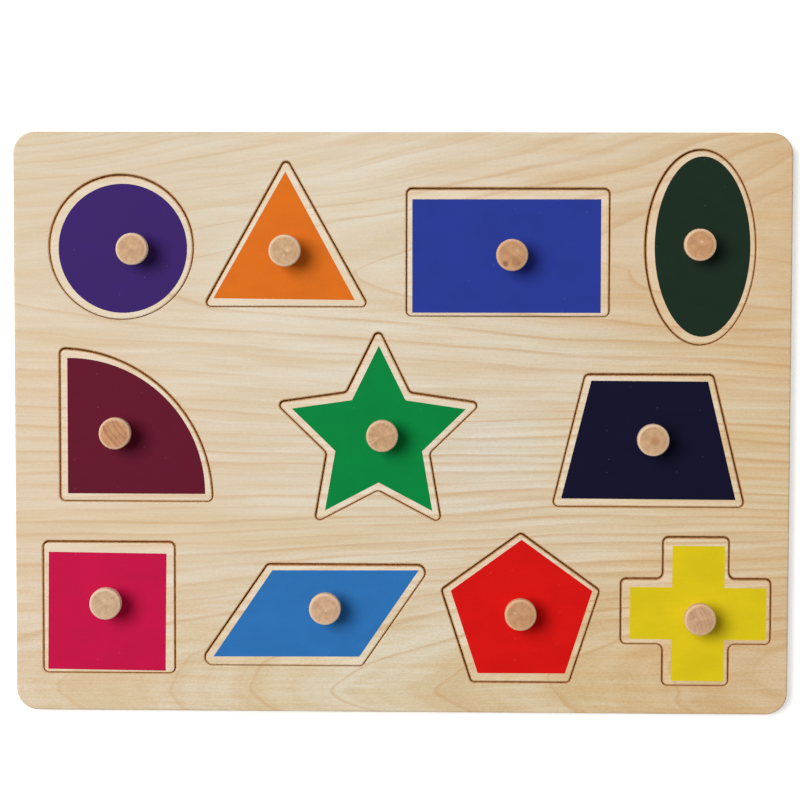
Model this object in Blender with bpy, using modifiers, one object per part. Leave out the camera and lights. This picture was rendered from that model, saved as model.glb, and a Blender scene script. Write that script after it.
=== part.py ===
"""A wooden puzzle board: two glued plywood sheets, eleven loose tiles and a turned peg in each tile.

Metres, +Z up. The origin is the middle of the board's underside. +X runs along the board's length,
and +Y points to the row that starts with the circle. Each tile lifts straight up out of its cut-out.
"""

import math
from dataclasses import dataclass

import bpy

# The two sheets of the board
BOARD_LENGTH = 0.300
BOARD_WIDTH = 0.225
BOARD_CORNER_RADIUS = 0.0085
BACKING_THICKNESS = 0.0027
FRAME_THICKNESS = 0.0050

# Gaps between the pieces
SEAT_GAP = 0.0003
TILE_CLEARANCE = 0.0006
LEAST_TILE_GAP = 0.0003
TENON_CLEARANCE = 0.0003

# The tiles, and how far their corners are rounded
CIRCLE_DIAMETER = 0.0551
TRIANGLE_BASE = 0.0630
TRIANGLE_HEIGHT = 0.0566
RECTANGLE_LENGTH = 0.0774
RECTANGLE_WIDTH = 0.0485
OVAL_WIDTH = 0.0417
OVAL_LENGTH = 0.0742
QUARTER_CIRCLE_RADIUS = 0.0587
STAR_TIP_RADIUS = 0.0414
STAR_NOTCH_RADIUS = 0.02065
TRAPEZOID_BASE = 0.0736
TRAPEZOID_TOP = 0.0488
TRAPEZOID_HEIGHT = 0.0507
SQUARE_SIDE = 0.0507
PARALLELOGRAM_BASE = 0.0633
PARALLELOGRAM_SLANT = 0.0268
PARALLELOGRAM_HEIGHT = 0.0391
PENTAGON_RADIUS = 0.0319
CROSS_SPAN = 0.0573
CROSS_ARM_WIDTH = 0.0249
CORNER_ROUNDING = 0.0018
POINT_ROUNDING = 0.0014
NOTCH_ROUNDING = 0.0028
PARALLELOGRAM_TIP_ROUNDING = 0.0028

# The turned pegs; heights are above the top of the tile
PEG_HEIGHT = 0.0130
PEG_HEAD_DIAMETER = 0.0122
PEG_HEAD_DEPTH = 0.0045
PEG_RIM_ROUNDING = 0.0011
PEG_WAIST_DIAMETER = 0.0078
PEG_WAIST_HEIGHT = 0.0032
PEG_FOOT_DIAMETER = 0.0090
TENON_DIAMETER = 0.0060

# How finely curves are divided
CORNER_STEP = math.radians(22.5)
CURVE_STEP = math.radians(7.5)
HOLE_STEP = math.radians(18)
PEG_STEPS = 20
RIM_STEPS = 3
COVE_STEPS = 4
FOOT_STEPS = 2

# Heights worked out from the sizes above
FRAME_BOTTOM = BACKING_THICKNESS + SEAT_GAP
TILE_THICKNESS = FRAME_THICKNESS
FRAME_MIDDLE = FRAME_BOTTOM + FRAME_THICKNESS / 2

# Wood colours, in sRGB
FRAME_WOOD = (222, 201, 170)
BACKING_WOOD = (214, 192, 158)
PEG_WOOD = (212, 180, 145)


def arc(centre, radius, start, end, step):
    """Return points on an arc about centre, from the angle start to the angle end, both included."""
    count = max(1, round(abs(end - start) / step))
    angles = [start + (end - start) * i / count for i in range(count + 1)]
    return [(centre[0] + radius * math.cos(a), centre[1] + radius * math.sin(a)) for a in angles]


@dataclass(frozen=True)
class Ellipse:
    """An ellipse or circle about the origin."""

    width: float
    height: float

    def loop(self, grow):
        """Return the outline, moved outwards along its normal by grow."""
        points = []
        count = round(math.tau / CURVE_STEP)
        for i in range(count):
            x, y = math.cos(math.tau * i / count), math.sin(math.tau * i / count)
            reach = math.hypot(x * self.height, y * self.width)
            points.append((x * (self.width / 2 + grow * self.height / reach),
                           y * (self.height / 2 + grow * self.width / reach)))
        return points


@dataclass(frozen=True)
class QuarterCircle:
    """A quarter of a disc with rounded corners, about the middle of its box; its square corner is low left."""

    radius: float
    rounding: float

    @property
    def width(self):
        """Return the length of the box along X."""
        return self.radius

    @property
    def height(self):
        """Return the length of the box along Y."""
        return self.radius

    def loop(self, grow):
        """Return the outline, moved outwards by grow; every arc keeps its centre."""
        r = self.rounding
        reach = math.sqrt((self.radius - r) ** 2 - r ** 2)
        tilt = math.atan2(r, reach)
        turn = math.pi / 2
        points = arc((r, r), r + grow, 2 * turn, 3 * turn, CORNER_STEP)
        points += arc((reach, r), r + grow, -turn, tilt, CORNER_STEP)
        points += arc((0, 0), self.radius + grow, tilt, turn - tilt, CURVE_STEP)[1:-1]
        points += arc((r, reach), r + grow, turn - tilt, 2 * turn, CORNER_STEP)
        return [(x - self.radius / 2, y - self.radius / 2) for x, y in points]


@dataclass(frozen=True)
class Polygon:
    """A polygon with rounded corners, about the middle of its box; corners run anticlockwise."""

    corners: tuple
    roundings: tuple

    @property
    def width(self):
        """Return the length along X of the box round the sharp corners."""
        return max(x for x, _ in self.corners) - min(x for x, _ in self.corners)

    @property
    def height(self):
        """Return the length along Y of the box round the sharp corners."""
        return max(y for _, y in self.corners) - min(y for _, y in self.corners)

    def loop(self, grow):
        """Return the outline, moved outwards by grow; the arc of each corner keeps its centre."""
        middle_x = min(x for x, _ in self.corners) + self.width / 2
        middle_y = min(y for _, y in self.corners) + self.height / 2
        points = []
        for i, (x, y) in enumerate(self.corners):
            before = self.corners[i - 1]
            after = self.corners[(i + 1) % len(self.corners)]
            start = math.atan2(y - before[1], x - before[0]) - math.pi / 2
            end = math.atan2(after[1] - y, after[0] - x) - math.pi / 2
            bend = (end - start + math.pi) % math.tau - math.pi
            side = math.copysign(1, bend)
            reach = self.roundings[i] / math.cos(bend / 2)
            inward = start + bend / 2 + math.pi
            centre = (x - middle_x + side * reach * math.cos(inward),
                      y - middle_y + side * reach * math.sin(inward))
            radius = self.roundings[i] + side * grow
            points += arc(centre, side * radius, start, start + bend, CORNER_STEP)
        return points


def regular(radius, sides):
    """Return the corners of a regular polygon, the first of them at the top."""
    angles = [math.pi / 2 + math.tau * i / sides for i in range(sides)]
    return tuple((radius * math.cos(a), radius * math.sin(a)) for a in angles)


def rectangle(width, height, rounding):
    """Return a rectangle with rounded corners."""
    x, y = width / 2, height / 2
    return Polygon(((-x, -y), (x, -y), (x, y), (-x, y)), (rounding,) * 4)


def triangle():
    """Return a triangle that stands on its base."""
    corners = ((-TRIANGLE_BASE / 2, 0), (TRIANGLE_BASE / 2, 0), (0, TRIANGLE_HEIGHT))
    return Polygon(corners, (POINT_ROUNDING,) * 3)


def trapezoid():
    """Return a trapezoid with its longer side below."""
    corners = ((-TRAPEZOID_BASE / 2, 0), (TRAPEZOID_BASE / 2, 0),
               (TRAPEZOID_TOP / 2, TRAPEZOID_HEIGHT), (-TRAPEZOID_TOP / 2, TRAPEZOID_HEIGHT))
    return Polygon(corners, (CORNER_ROUNDING,) * 4)


def parallelogram():
    """Return a parallelogram whose top is shifted to +X."""
    corners = ((0, 0), (PARALLELOGRAM_BASE, 0),
               (PARALLELOGRAM_BASE + PARALLELOGRAM_SLANT, PARALLELOGRAM_HEIGHT),
               (PARALLELOGRAM_SLANT, PARALLELOGRAM_HEIGHT))
    return Polygon(corners, (PARALLELOGRAM_TIP_ROUNDING, CORNER_ROUNDING) * 2)


def star():
    """Return a star of five tips, its notches halfway between them."""
    tips = regular(STAR_TIP_RADIUS, 5)
    half_turn = math.pi / 5
    corners = []
    for x, y in tips:
        angle = math.atan2(y, x) + half_turn
        corners += [(x, y), (STAR_NOTCH_RADIUS * math.cos(angle), STAR_NOTCH_RADIUS * math.sin(angle))]
    return Polygon(tuple(corners), (POINT_ROUNDING, NOTCH_ROUNDING) * 5)


def cross():
    """Return a cross of four equal arms."""
    tip, side = CROSS_SPAN / 2, CROSS_ARM_WIDTH / 2
    arm = ((tip, -side), (tip, side), (side, side))
    corners = []
    for quarter in range(4):
        c, s = round(math.cos(quarter * math.pi / 2)), round(math.sin(quarter * math.pi / 2))
        corners += [(c * x - s * y, s * x + c * y) for x, y in arm]
    return Polygon(tuple(corners), (CORNER_ROUNDING, CORNER_ROUNDING, NOTCH_ROUNDING) * 4)


@dataclass(frozen=True)
class Tile:
    """A loose tile.

    peg is the peg's place from the middle of the tile's box, as shares of half its width and height.
    leans is the direction, in degrees from +X, in which the tile lies in the play of its cut-out.
    """

    outline: object
    peg: tuple
    leans: float
    ink: tuple


TILES = {
    "circle": Tile(Ellipse(CIRCLE_DIAMETER, CIRCLE_DIAMETER), (0.198, -0.013), -85, (64, 38, 107)),
    "triangle": Tile(triangle(), (0.003, -0.237), -80, (224, 112, 32)),
    "rectangle": Tile(rectangle(RECTANGLE_LENGTH, RECTANGLE_WIDTH, CORNER_ROUNDING),
                      (0.037, -0.025), -95, (45, 58, 148)),
    "oval": Tile(Ellipse(OVAL_WIDTH, OVAL_LENGTH), (-0.059, 0.035), -45, (33, 47, 39)),
    "quarter_circle": Tile(QuarterCircle(QUARTER_CIRCLE_RADIUS, CORNER_ROUNDING),
                           (-0.235, -0.077), -80, (105, 28, 48)),
    "star": Tile(star(), (0.047, -0.075), -80, (18, 133, 62)),
    "trapezoid": Tile(trapezoid(), (0.027, 0.054), -110, (28, 26, 42)),
    "square": Tile(rectangle(SQUARE_SIDE, SQUARE_SIDE, CORNER_ROUNDING),
                   (0.001, 0.124), -95, (198, 28, 72)),
    "parallelogram": Tile(parallelogram(), (0.10, 0.217), -95, (46, 113, 183)),
    "pentagon": Tile(Polygon(regular(PENTAGON_RADIUS, 5), (POINT_ROUNDING,) * 5),
                     (-0.006, -0.034), -80, (210, 25, 25)),
    "cross": Tile(cross(), (0.027, -0.045), -90, (213, 193, 30)),
}

# The tiles of each row from left to right, and the ratio in which the gaps beside them share the spare length
ROWS = (
    (("circle", "triangle", "rectangle", "oval"), (14.2, 4.7, 15.3, 14.2, 14.4)),
    (("quarter_circle", "star", "trapezoid"), (17.9, 25.1, 28.4, 17.5)),
    (("square", "parallelogram", "pentagon", "cross"), (11.1, 9.8, 4.4, 8.8, 7.1)),
)

# The tiles of each column from the bottom up, and the ratio for the gaps above and below them
COLUMNS = (
    (("square", "quarter_circle", "circle"), (15.3, 16.5, 11.9, 16.8)),
    (("parallelogram", "star", "triangle"), (18.5, 16.8, 8.9, 10.2)),
    (("pentagon", "rectangle"), (12.6, 84.4, 21.8)),
    (("cross", "trapezoid", "oval"), (11.7, 12.2, 12.0, 6.9)),
)


def spread(total, lengths, gaps):
    """Return the middles of pieces along a length, whose spare length the gaps share in their ratio."""
    unit = (total - sum(lengths)) / sum(gaps)
    middles = []
    edge = -total / 2
    for length, gap in zip(lengths, gaps):
        middles.append(edge + gap * unit + length / 2)
        edge += gap * unit + length
    return middles


def cutout_places():
    """Return the middle of each cut-out, as tile name to (x, y)."""
    xs, ys = {}, {}
    for names, gaps in ROWS:
        xs.update(zip(names, spread(BOARD_LENGTH, [TILES[n].outline.width for n in names], gaps)))
    for names, gaps in COLUMNS:
        ys.update(zip(names, spread(BOARD_WIDTH, [TILES[n].outline.height for n in names], gaps)))
    return {name: (xs[name], ys[name]) for name in TILES}


def tile_place(tile, place):
    """Return where a tile lies: in its cut-out, shifted towards the side that it leans to."""
    shift = TILE_CLEARANCE - LEAST_TILE_GAP
    lean = math.radians(tile.leans)
    return place[0] + shift * math.cos(lean), place[1] + shift * math.sin(lean)


def wood(name, colour, roughness):
    """Return a new material of an sRGB colour, 0 to 255."""
    material = bpy.data.materials.new(name)
    material.use_nodes = True
    shader = material.node_tree.nodes["Principled BSDF"]
    linear = [((c / 255 + 0.055) / 1.055) ** 2.4 for c in colour]
    shader.inputs["Base Color"].default_value = (*linear, 1)
    shader.inputs["Roughness"].default_value = roughness
    shader.inputs["Metallic"].default_value = 0
    return material


def add_object(name, data, collection, parent, location, material):
    """Put a mesh or curve in the collection, under its parent, with its material."""
    piece = bpy.data.objects.new(name, data)
    piece.location = location
    piece.parent = parent
    data.materials.append(material)
    collection.objects.link(piece)
    return piece


def flat_sheet(name, loops, thickness):
    """Return a flat curve with thickness; the first loop is its edge and the others are holes in it."""
    sheet = bpy.data.curves.new(name, "CURVE")
    sheet.dimensions = "2D"
    sheet.fill_mode = "BOTH"
    sheet.extrude = thickness / 2
    for loop in loops:
        spline = sheet.splines.new("POLY")
        spline.points.add(len(loop) - 1)
        for point, (x, y) in zip(spline.points, loop):
            point.co = (x, y, 0, 1)
        spline.use_cyclic_u = True
    return sheet


def peg_profile():
    """Return the peg's half outline as (radius, height) points, from the top of the head to the tenon's end."""
    head, waist, foot = PEG_HEAD_DIAMETER / 2, PEG_WAIST_DIAMETER / 2, PEG_FOOT_DIAMETER / 2
    under_head = PEG_HEIGHT - PEG_HEAD_DEPTH
    quarter = math.pi / 2
    rim = arc((head - PEG_RIM_ROUNDING, PEG_HEIGHT - PEG_RIM_ROUNDING), PEG_RIM_ROUNDING,
              quarter, 0, quarter / RIM_STEPS)
    cove = []
    for i in range(COVE_STEPS + 1):
        angle = quarter * i / COVE_STEPS
        cove.append((waist + (head - waist) * (1 - math.sin(angle)),
                     PEG_WAIST_HEIGHT + (under_head - PEG_WAIST_HEIGHT) * math.cos(angle)))
    flare = []
    for i in range(1, FOOT_STEPS + 1):
        angle = quarter * i / FOOT_STEPS
        flare.append((waist + (foot - waist) * (1 - math.cos(angle)),
                      PEG_WAIST_HEIGHT - (PEG_WAIST_HEIGHT - SEAT_GAP) * math.sin(angle)))
    tenon = [(TENON_DIAMETER / 2, SEAT_GAP), (TENON_DIAMETER / 2, -TILE_THICKNESS), (0, -TILE_THICKNESS)]
    return [(0, PEG_HEIGHT)] + rim + cove + flare + tenon


def peg_mesh():
    """Return the mesh of the peg's half outline, which each peg turns with a Screw modifier."""
    profile = peg_profile()
    mesh = bpy.data.meshes.new("peg_profile")
    edges = [(i, i + 1) for i in range(len(profile) - 1)]
    mesh.from_pydata([(radius, 0, height) for radius, height in profile], edges, [])
    return mesh


def turn(piece):
    """Turn a half outline about its Z axis into a closed smooth body."""
    screw = piece.modifiers.new("turned", "SCREW")
    screw.axis = "Z"
    screw.angle = math.tau
    screw.steps = PEG_STEPS
    screw.render_steps = PEG_STEPS
    screw.use_merge_vertices = True
    screw.merge_threshold = 0.00001
    screw.use_smooth_shade = True


def build_board(collection, root, places):
    """Make the backing board and the frame board with its cut-outs."""
    edge = rectangle(BOARD_LENGTH, BOARD_WIDTH, BOARD_CORNER_RADIUS).loop(0)
    backing = flat_sheet("backing_board", [edge], BACKING_THICKNESS)
    add_object("backing_board", backing, collection, root, (0, 0, BACKING_THICKNESS / 2),
               wood("backing_ply", BACKING_WOOD, 0.6))
    loops = [edge]
    for name, (x, y) in places.items():
        loops.append([(x + u, y + v) for u, v in TILES[name].outline.loop(TILE_CLEARANCE)])
    frame = flat_sheet("frame_board", loops, FRAME_THICKNESS)
    add_object("frame_board", frame, collection, root, (0, 0, FRAME_MIDDLE),
               wood("frame_ply", FRAME_WOOD, 0.5))


def build_tile(collection, root, name, place, profile):
    """Make a tile with its hole, and the peg whose tenon fills the hole."""
    tile = TILES[name]
    x, y = tile_place(tile, place)
    peg_x = tile.peg[0] * tile.outline.width / 2
    peg_y = tile.peg[1] * tile.outline.height / 2
    hole = arc((peg_x, peg_y), TENON_DIAMETER / 2 + TENON_CLEARANCE, 0, math.tau, HOLE_STEP)[:-1]
    sheet = flat_sheet("tile_" + name, [tile.outline.loop(0), hole], TILE_THICKNESS)
    board = add_object("tile_" + name, sheet, collection, root, (x, y, FRAME_MIDDLE),
                       wood("ink_" + name, tile.ink, 0.45))
    peg = add_object("peg_" + name, profile.copy(), collection, board,
                     (peg_x, peg_y, TILE_THICKNESS / 2), wood("peg_wood_" + name, PEG_WOOD, 0.55))
    turn(peg)


def main():
    """Clear the scene and build the puzzle board."""
    for old in list(bpy.data.objects):
        bpy.data.objects.remove(old, do_unlink=True)
    collection = bpy.data.collections.new("wooden_puzzle_board")
    bpy.context.scene.collection.children.link(collection)
    root = bpy.data.objects.new("board_origin", None)
    collection.objects.link(root)
    places = cutout_places()
    build_board(collection, root, places)
    profile = peg_mesh()
    for name, place in places.items():
        build_tile(collection, root, name, place, profile)


main()
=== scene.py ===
"""The looks of a wooden puzzle board: pale veneer with printed tiles, cut lines and turned pegs.

Metres, +Z up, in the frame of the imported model, whose origin is the middle of the board's underside.
Each piece here stands for one solid of that model and takes its place from the solid's box. The
board's two sheets ride on the body "board", and each tile rides with its peg on a body of its own.
Materials work in millimetres, because wood grain is finer than a metre's thousandth.
"""

import logging
import math
from abc import ABC, abstractmethod
from collections.abc import Mapping, Sequence
from dataclasses import dataclass
from enum import Enum
from operator import itemgetter

import bpy
import numpy as np
from mathutils import Matrix, Vector
from mathutils.geometry import delaunay_2d_cdt


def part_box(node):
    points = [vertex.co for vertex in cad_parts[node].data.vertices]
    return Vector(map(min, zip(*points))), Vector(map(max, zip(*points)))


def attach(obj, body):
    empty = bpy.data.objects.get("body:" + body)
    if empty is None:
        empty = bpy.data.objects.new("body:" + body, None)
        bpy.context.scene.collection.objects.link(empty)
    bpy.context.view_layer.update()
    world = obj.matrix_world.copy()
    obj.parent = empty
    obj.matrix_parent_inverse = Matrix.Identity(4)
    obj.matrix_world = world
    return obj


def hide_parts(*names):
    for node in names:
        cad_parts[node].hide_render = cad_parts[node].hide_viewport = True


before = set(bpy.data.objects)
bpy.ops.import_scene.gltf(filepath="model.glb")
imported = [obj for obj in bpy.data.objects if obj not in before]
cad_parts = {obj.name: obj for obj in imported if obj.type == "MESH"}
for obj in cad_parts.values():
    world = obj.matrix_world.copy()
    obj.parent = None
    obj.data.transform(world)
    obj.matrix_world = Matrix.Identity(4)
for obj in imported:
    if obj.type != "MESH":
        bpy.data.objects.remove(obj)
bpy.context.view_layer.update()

LOG = logging.getLogger("puzzle_board")
MILLIMETRES = 1000.0
WOOD_SHINE = 0.3

FloatArray = np.ndarray
IntArray = np.ndarray
Colour = tuple[float, float, float, float]
Point = tuple[float, float, float]
Pair = tuple[float, float]
Stretch = tuple[Pair, Pair]

WHITE: Colour = (1.0, 1.0, 1.0, 1.0)


def srgb(red: int, green: int, blue: int) -> Colour:
    """Turn a colour given in sRGB into linear light.

    Args:
        red: Red, 0 to 255.
        green: Green, 0 to 255.
        blue: Blue, 0 to 255.

    Returns:
        The linear colour with full alpha.
    """
    share = np.array((red, green, blue)) / 255
    linear = np.where(share <= 0.04045, share / 12.92, ((share + 0.055) / 1.055) ** 2.4)
    return (*linear.tolist(), 1.0)


class Calc(Enum):
    """The operations of the Math and Vector Math nodes that the materials use."""

    ADD = "ADD"
    SUBTRACT = "SUBTRACT"
    MULTIPLY = "MULTIPLY"
    DIVIDE = "DIVIDE"
    POWER = "POWER"
    COSINE = "COSINE"
    SINE = "SINE"
    FLOOR = "FLOOR"
    FRACTION = "FRACT"
    MAXIMUM = "MAXIMUM"
    ANGLE = "ARCTAN2"
    GREATER = "GREATER_THAN"


class Blend(Enum):
    """The ways in which two colours are mixed."""

    MIX = "MIX"
    MULTIPLY = "MULTIPLY"


class SocketKind(Enum):
    """The kinds of socket on a node group."""

    VALUE = "NodeSocketFloat"
    COLOUR = "NodeSocketColor"
    VECTOR = "NodeSocketVector"


@dataclass(frozen=True)
class Wire:
    """A value that flows between nodes. Sums and products of wires add Math nodes."""

    graph: "Graph"
    socket: bpy.types.NodeSocket

    def __add__(self, other: "Feed") -> "Wire":
        """Return this value plus the other."""
        return self.graph.math(Calc.ADD, self, other)

    def __sub__(self, other: "Feed") -> "Wire":
        """Return this value less the other."""
        return self.graph.math(Calc.SUBTRACT, self, other)

    def __rsub__(self, other: float) -> "Wire":
        """Return the other less this value."""
        return self.graph.math(Calc.SUBTRACT, other, self)

    def __mul__(self, other: "Feed") -> "Wire":
        """Return this value times the other."""
        return self.graph.math(Calc.MULTIPLY, self, other)

    def __truediv__(self, other: "Feed") -> "Wire":
        """Return this value over the other."""
        return self.graph.math(Calc.DIVIDE, self, other)

    def cosine(self) -> "Wire":
        """Return the cosine of this value in radians."""
        return self.graph.math(Calc.COSINE, self)

    def sine(self) -> "Wire":
        """Return the sine of this value in radians."""
        return self.graph.math(Calc.SINE, self)

    def floor(self) -> "Wire":
        """Return the whole number below this value."""
        return self.graph.math(Calc.FLOOR, self)

    def fraction(self) -> "Wire":
        """Return what this value has above the whole number below it."""
        return self.graph.math(Calc.FRACTION, self)

    def diagonal(self, other: "Wire") -> "Wire":
        """Return the square root of the sum of both values' squares."""
        return self.graph.math(Calc.POWER, self * self + other * other, 0.5)

    def over(self, limit: float) -> "Wire":
        """Return 1 where this value is above the limit, and 0 elsewhere."""
        return self.graph.math(Calc.GREATER, self, limit)

    def rise(self, low: float, high: float, bottom: "Feed" = 0.0, top: "Feed" = 1.0) -> "Wire":
        """Follow a smooth step from bottom to top as this value goes from low to high.

        Args:
            low: Where the step starts.
            high: Where it ends; a high below low gives a step down.
            bottom: What it gives before the start.
            top: What it gives past the end.

        Returns:
            The stepped value.
        """
        ends = (low, high, bottom, top) if low < high else (high, low, top, bottom)
        inputs = dict(zip(("Value", "From Min", "From Max", "To Min", "To Max"), (self, *ends)))
        return self.graph.wire("ShaderNodeMapRange", "Result", inputs, interpolation_type="SMOOTHSTEP")


Feed = Wire | float | tuple[float, ...]


class Graph:
    """Adds nodes to one node tree and links them."""

    # The colour sockets of a Mix node go by number, since those of its other types have the same names.
    MIX_SHARE, MIX_FIRST, MIX_SECOND, MIX_RESULT = 0, 6, 7, 2

    def __init__(self, tree: bpy.types.NodeTree) -> None:
        """Keep the tree."""
        self.tree = tree

    def feed(self, node: bpy.types.Node, inputs: Mapping[str | int, Feed]) -> None:
        """Link wires to a node's inputs, or set the inputs' own values.

        Args:
            node: The node.
            inputs: The wires and values, by the input's name or number.
        """
        for name, value in inputs.items():
            if isinstance(value, Wire):
                self.tree.links.new(value.socket, node.inputs[name])
            else:
                node.inputs[name].default_value = value

    def add(self, kind: str, inputs: Mapping[str | int, Feed], **settings: object) -> bpy.types.Node:
        """Add a node.

        Args:
            kind: The node's type name in Blender.
            inputs: What feeds its inputs, by name or number.
            settings: Its properties.

        Returns:
            The node.
        """
        node = self.tree.nodes.new(kind)
        for name, value in settings.items():
            setattr(node, name, value)
        self.feed(node, inputs)
        return node

    def wire(self, kind: str, output: str | int, inputs: Mapping[str | int, Feed],
             **settings: object) -> Wire:
        """Add a node, and return its output of that name or number."""
        return Wire(self, self.add(kind, inputs, **settings).outputs[output])

    def math(self, calc: Calc, *values: Feed) -> Wire:
        """Work out an operation on values."""
        return self.wire("ShaderNodeMath", 0, dict(enumerate(values)), operation=calc.value)

    def vector(self, calc: Calc, first: Wire, second: Feed) -> Wire:
        """Work out an operation on each axis of two vectors."""
        return self.wire("ShaderNodeVectorMath", "Vector", {0: first, 1: second}, operation=calc.value)

    def place(self, centre: Point = (0.0, 0.0, 0.0)) -> Wire:
        """Read where a point of the piece lies, in millimetres, from a centre given in metres."""
        inputs = {"Vector": self.wire("ShaderNodeTexCoord", "Object", {}),
                  "Location": tuple(-c * MILLIMETRES for c in centre), "Scale": (MILLIMETRES,) * 3}
        return self.wire("ShaderNodeMapping", "Vector", inputs)

    def split(self, vector: Wire) -> tuple[Wire, Wire, Wire]:
        """Take a vector apart into its X, Y and Z."""
        node = self.add("ShaderNodeSeparateXYZ", {"Vector": vector})
        return tuple(Wire(self, node.outputs[axis]) for axis in "XYZ")

    def join(self, x: Feed, y: Feed = 0.0, z: Feed = 0.0) -> Wire:
        """Make a vector of its X, Y and Z."""
        return self.wire("ShaderNodeCombineXYZ", "Vector", {"X": x, "Y": y, "Z": z})

    def noise(self, vector: Wire, lengths: Point = (1.0, 1.0, 1.0), detail: float = 2.0,
              roughness: float = 0.5) -> Wire:
        """Return smooth noise about 0.5 at a place, whose lumps have these lengths along X, Y and Z."""
        inputs = {"Vector": self.vector(Calc.DIVIDE, vector, lengths), "Scale": 1.0, "Detail": detail,
                  "Roughness": roughness}
        return self.wire("ShaderNodeTexNoise", "Fac", inputs, noise_dimensions="3D")

    def moved(self, vector: Wire, place: Wire, lengths: Point, reach: Point, share: Feed = 1.0) -> Wire:
        """Move a vector by noise that has its own value along each axis.

        Args:
            vector: The vector.
            place: Where the noise is read.
            lengths: The noise lumps' lengths along X, Y and Z.
            reach: How far the vector moves along each axis as the noise goes from 0 to 1.
            share: How much of that it moves.

        Returns:
            The moved vector.
        """
        inputs = {"Vector": self.vector(Calc.DIVIDE, place, lengths), "Scale": 1.0, "Detail": 1.0}
        noise = self.wire("ShaderNodeTexNoise", "Color", inputs, noise_dimensions="3D")
        about = self.vector(Calc.SUBTRACT, noise, (0.5, 0.5, 0.5))
        wide = self.vector(Calc.MULTIPLY, about, reach)
        step = self.wire("ShaderNodeVectorMath", "Vector", {"Vector": wide, "Scale": share},
                         operation="SCALE")
        return self.vector(Calc.ADD, vector, step)

    def chance(self, value: Wire) -> Wire:
        """Return an even random number from 0 to 1 for each value."""
        return self.wire("ShaderNodeTexWhiteNoise", "Value", {"W": value}, noise_dimensions="1D")

    def attribute(self, name: str) -> Wire:
        """Return a value that the mesh holds at its points."""
        return self.wire("ShaderNodeAttribute", "Fac", {}, attribute_name=name)

    def blend(self, share: Feed, first: Feed, second: Feed, mode: Blend = Blend.MIX) -> Wire:
        """Mix two colours, of which the second shows by its share."""
        inputs = {self.MIX_SHARE: share, self.MIX_FIRST: first, self.MIX_SECOND: second}
        return self.wire("ShaderNodeMix", self.MIX_RESULT, inputs, data_type="RGBA", blend_type=mode.value)

    def tinted(self, colour: Feed, tint: Feed) -> Wire:
        """Multiply a colour by a tint."""
        return self.blend(1.0, colour, tint, Blend.MULTIPLY)

    def grey(self, value: Wire) -> Wire:
        """Return a grey of that value."""
        return self.wire("ShaderNodeCombineColor", "Color", dict.fromkeys(("Red", "Green", "Blue"), value))

    def bump(self, height: Wire, distance: float) -> Wire:
        """Turn a height from 0 to 1 into a normal; a height of 1 is that distance in metres."""
        inputs = {"Height": height, "Distance": distance, "Strength": 1.0}
        return self.wire("ShaderNodeBump", "Normal", inputs)


class Effect(ABC):
    """An effect that several materials use, kept as one node group."""

    title: str
    takes: Mapping[str, SocketKind]
    gives: Mapping[str, SocketKind]

    @abstractmethod
    def draw(self, graph: Graph, inputs: Mapping[str, Wire]) -> Mapping[str, Wire]:
        """Add the effect's nodes, and return what feeds each output."""

    def tree(self) -> bpy.types.NodeTree:
        """Build the group once.

        Returns:
            The group, the same one at each call.
        """
        found = bpy.data.node_groups.get(self.title)
        if found is not None:
            return found
        tree = bpy.data.node_groups.new(self.title, "ShaderNodeTree")
        for in_out, sockets in (("INPUT", self.takes), ("OUTPUT", self.gives)):
            for name, kind in sockets.items():
                tree.interface.new_socket(name, in_out=in_out, socket_type=kind.value)
        graph = Graph(tree)
        source = graph.add("NodeGroupInput", {})
        wires = {name: Wire(graph, source.outputs[name]) for name in self.takes}
        graph.add("NodeGroupOutput", self.draw(graph, wires))
        return tree

    def use(self, graph: Graph, inputs: Mapping[str, Feed]) -> dict[str, Wire]:
        """Place the group in a graph, and return its outputs by name."""
        node = graph.add("ShaderNodeGroup", inputs, node_tree=self.tree())
        return {socket.name: Wire(graph, socket) for socket in node.outputs}


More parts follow.
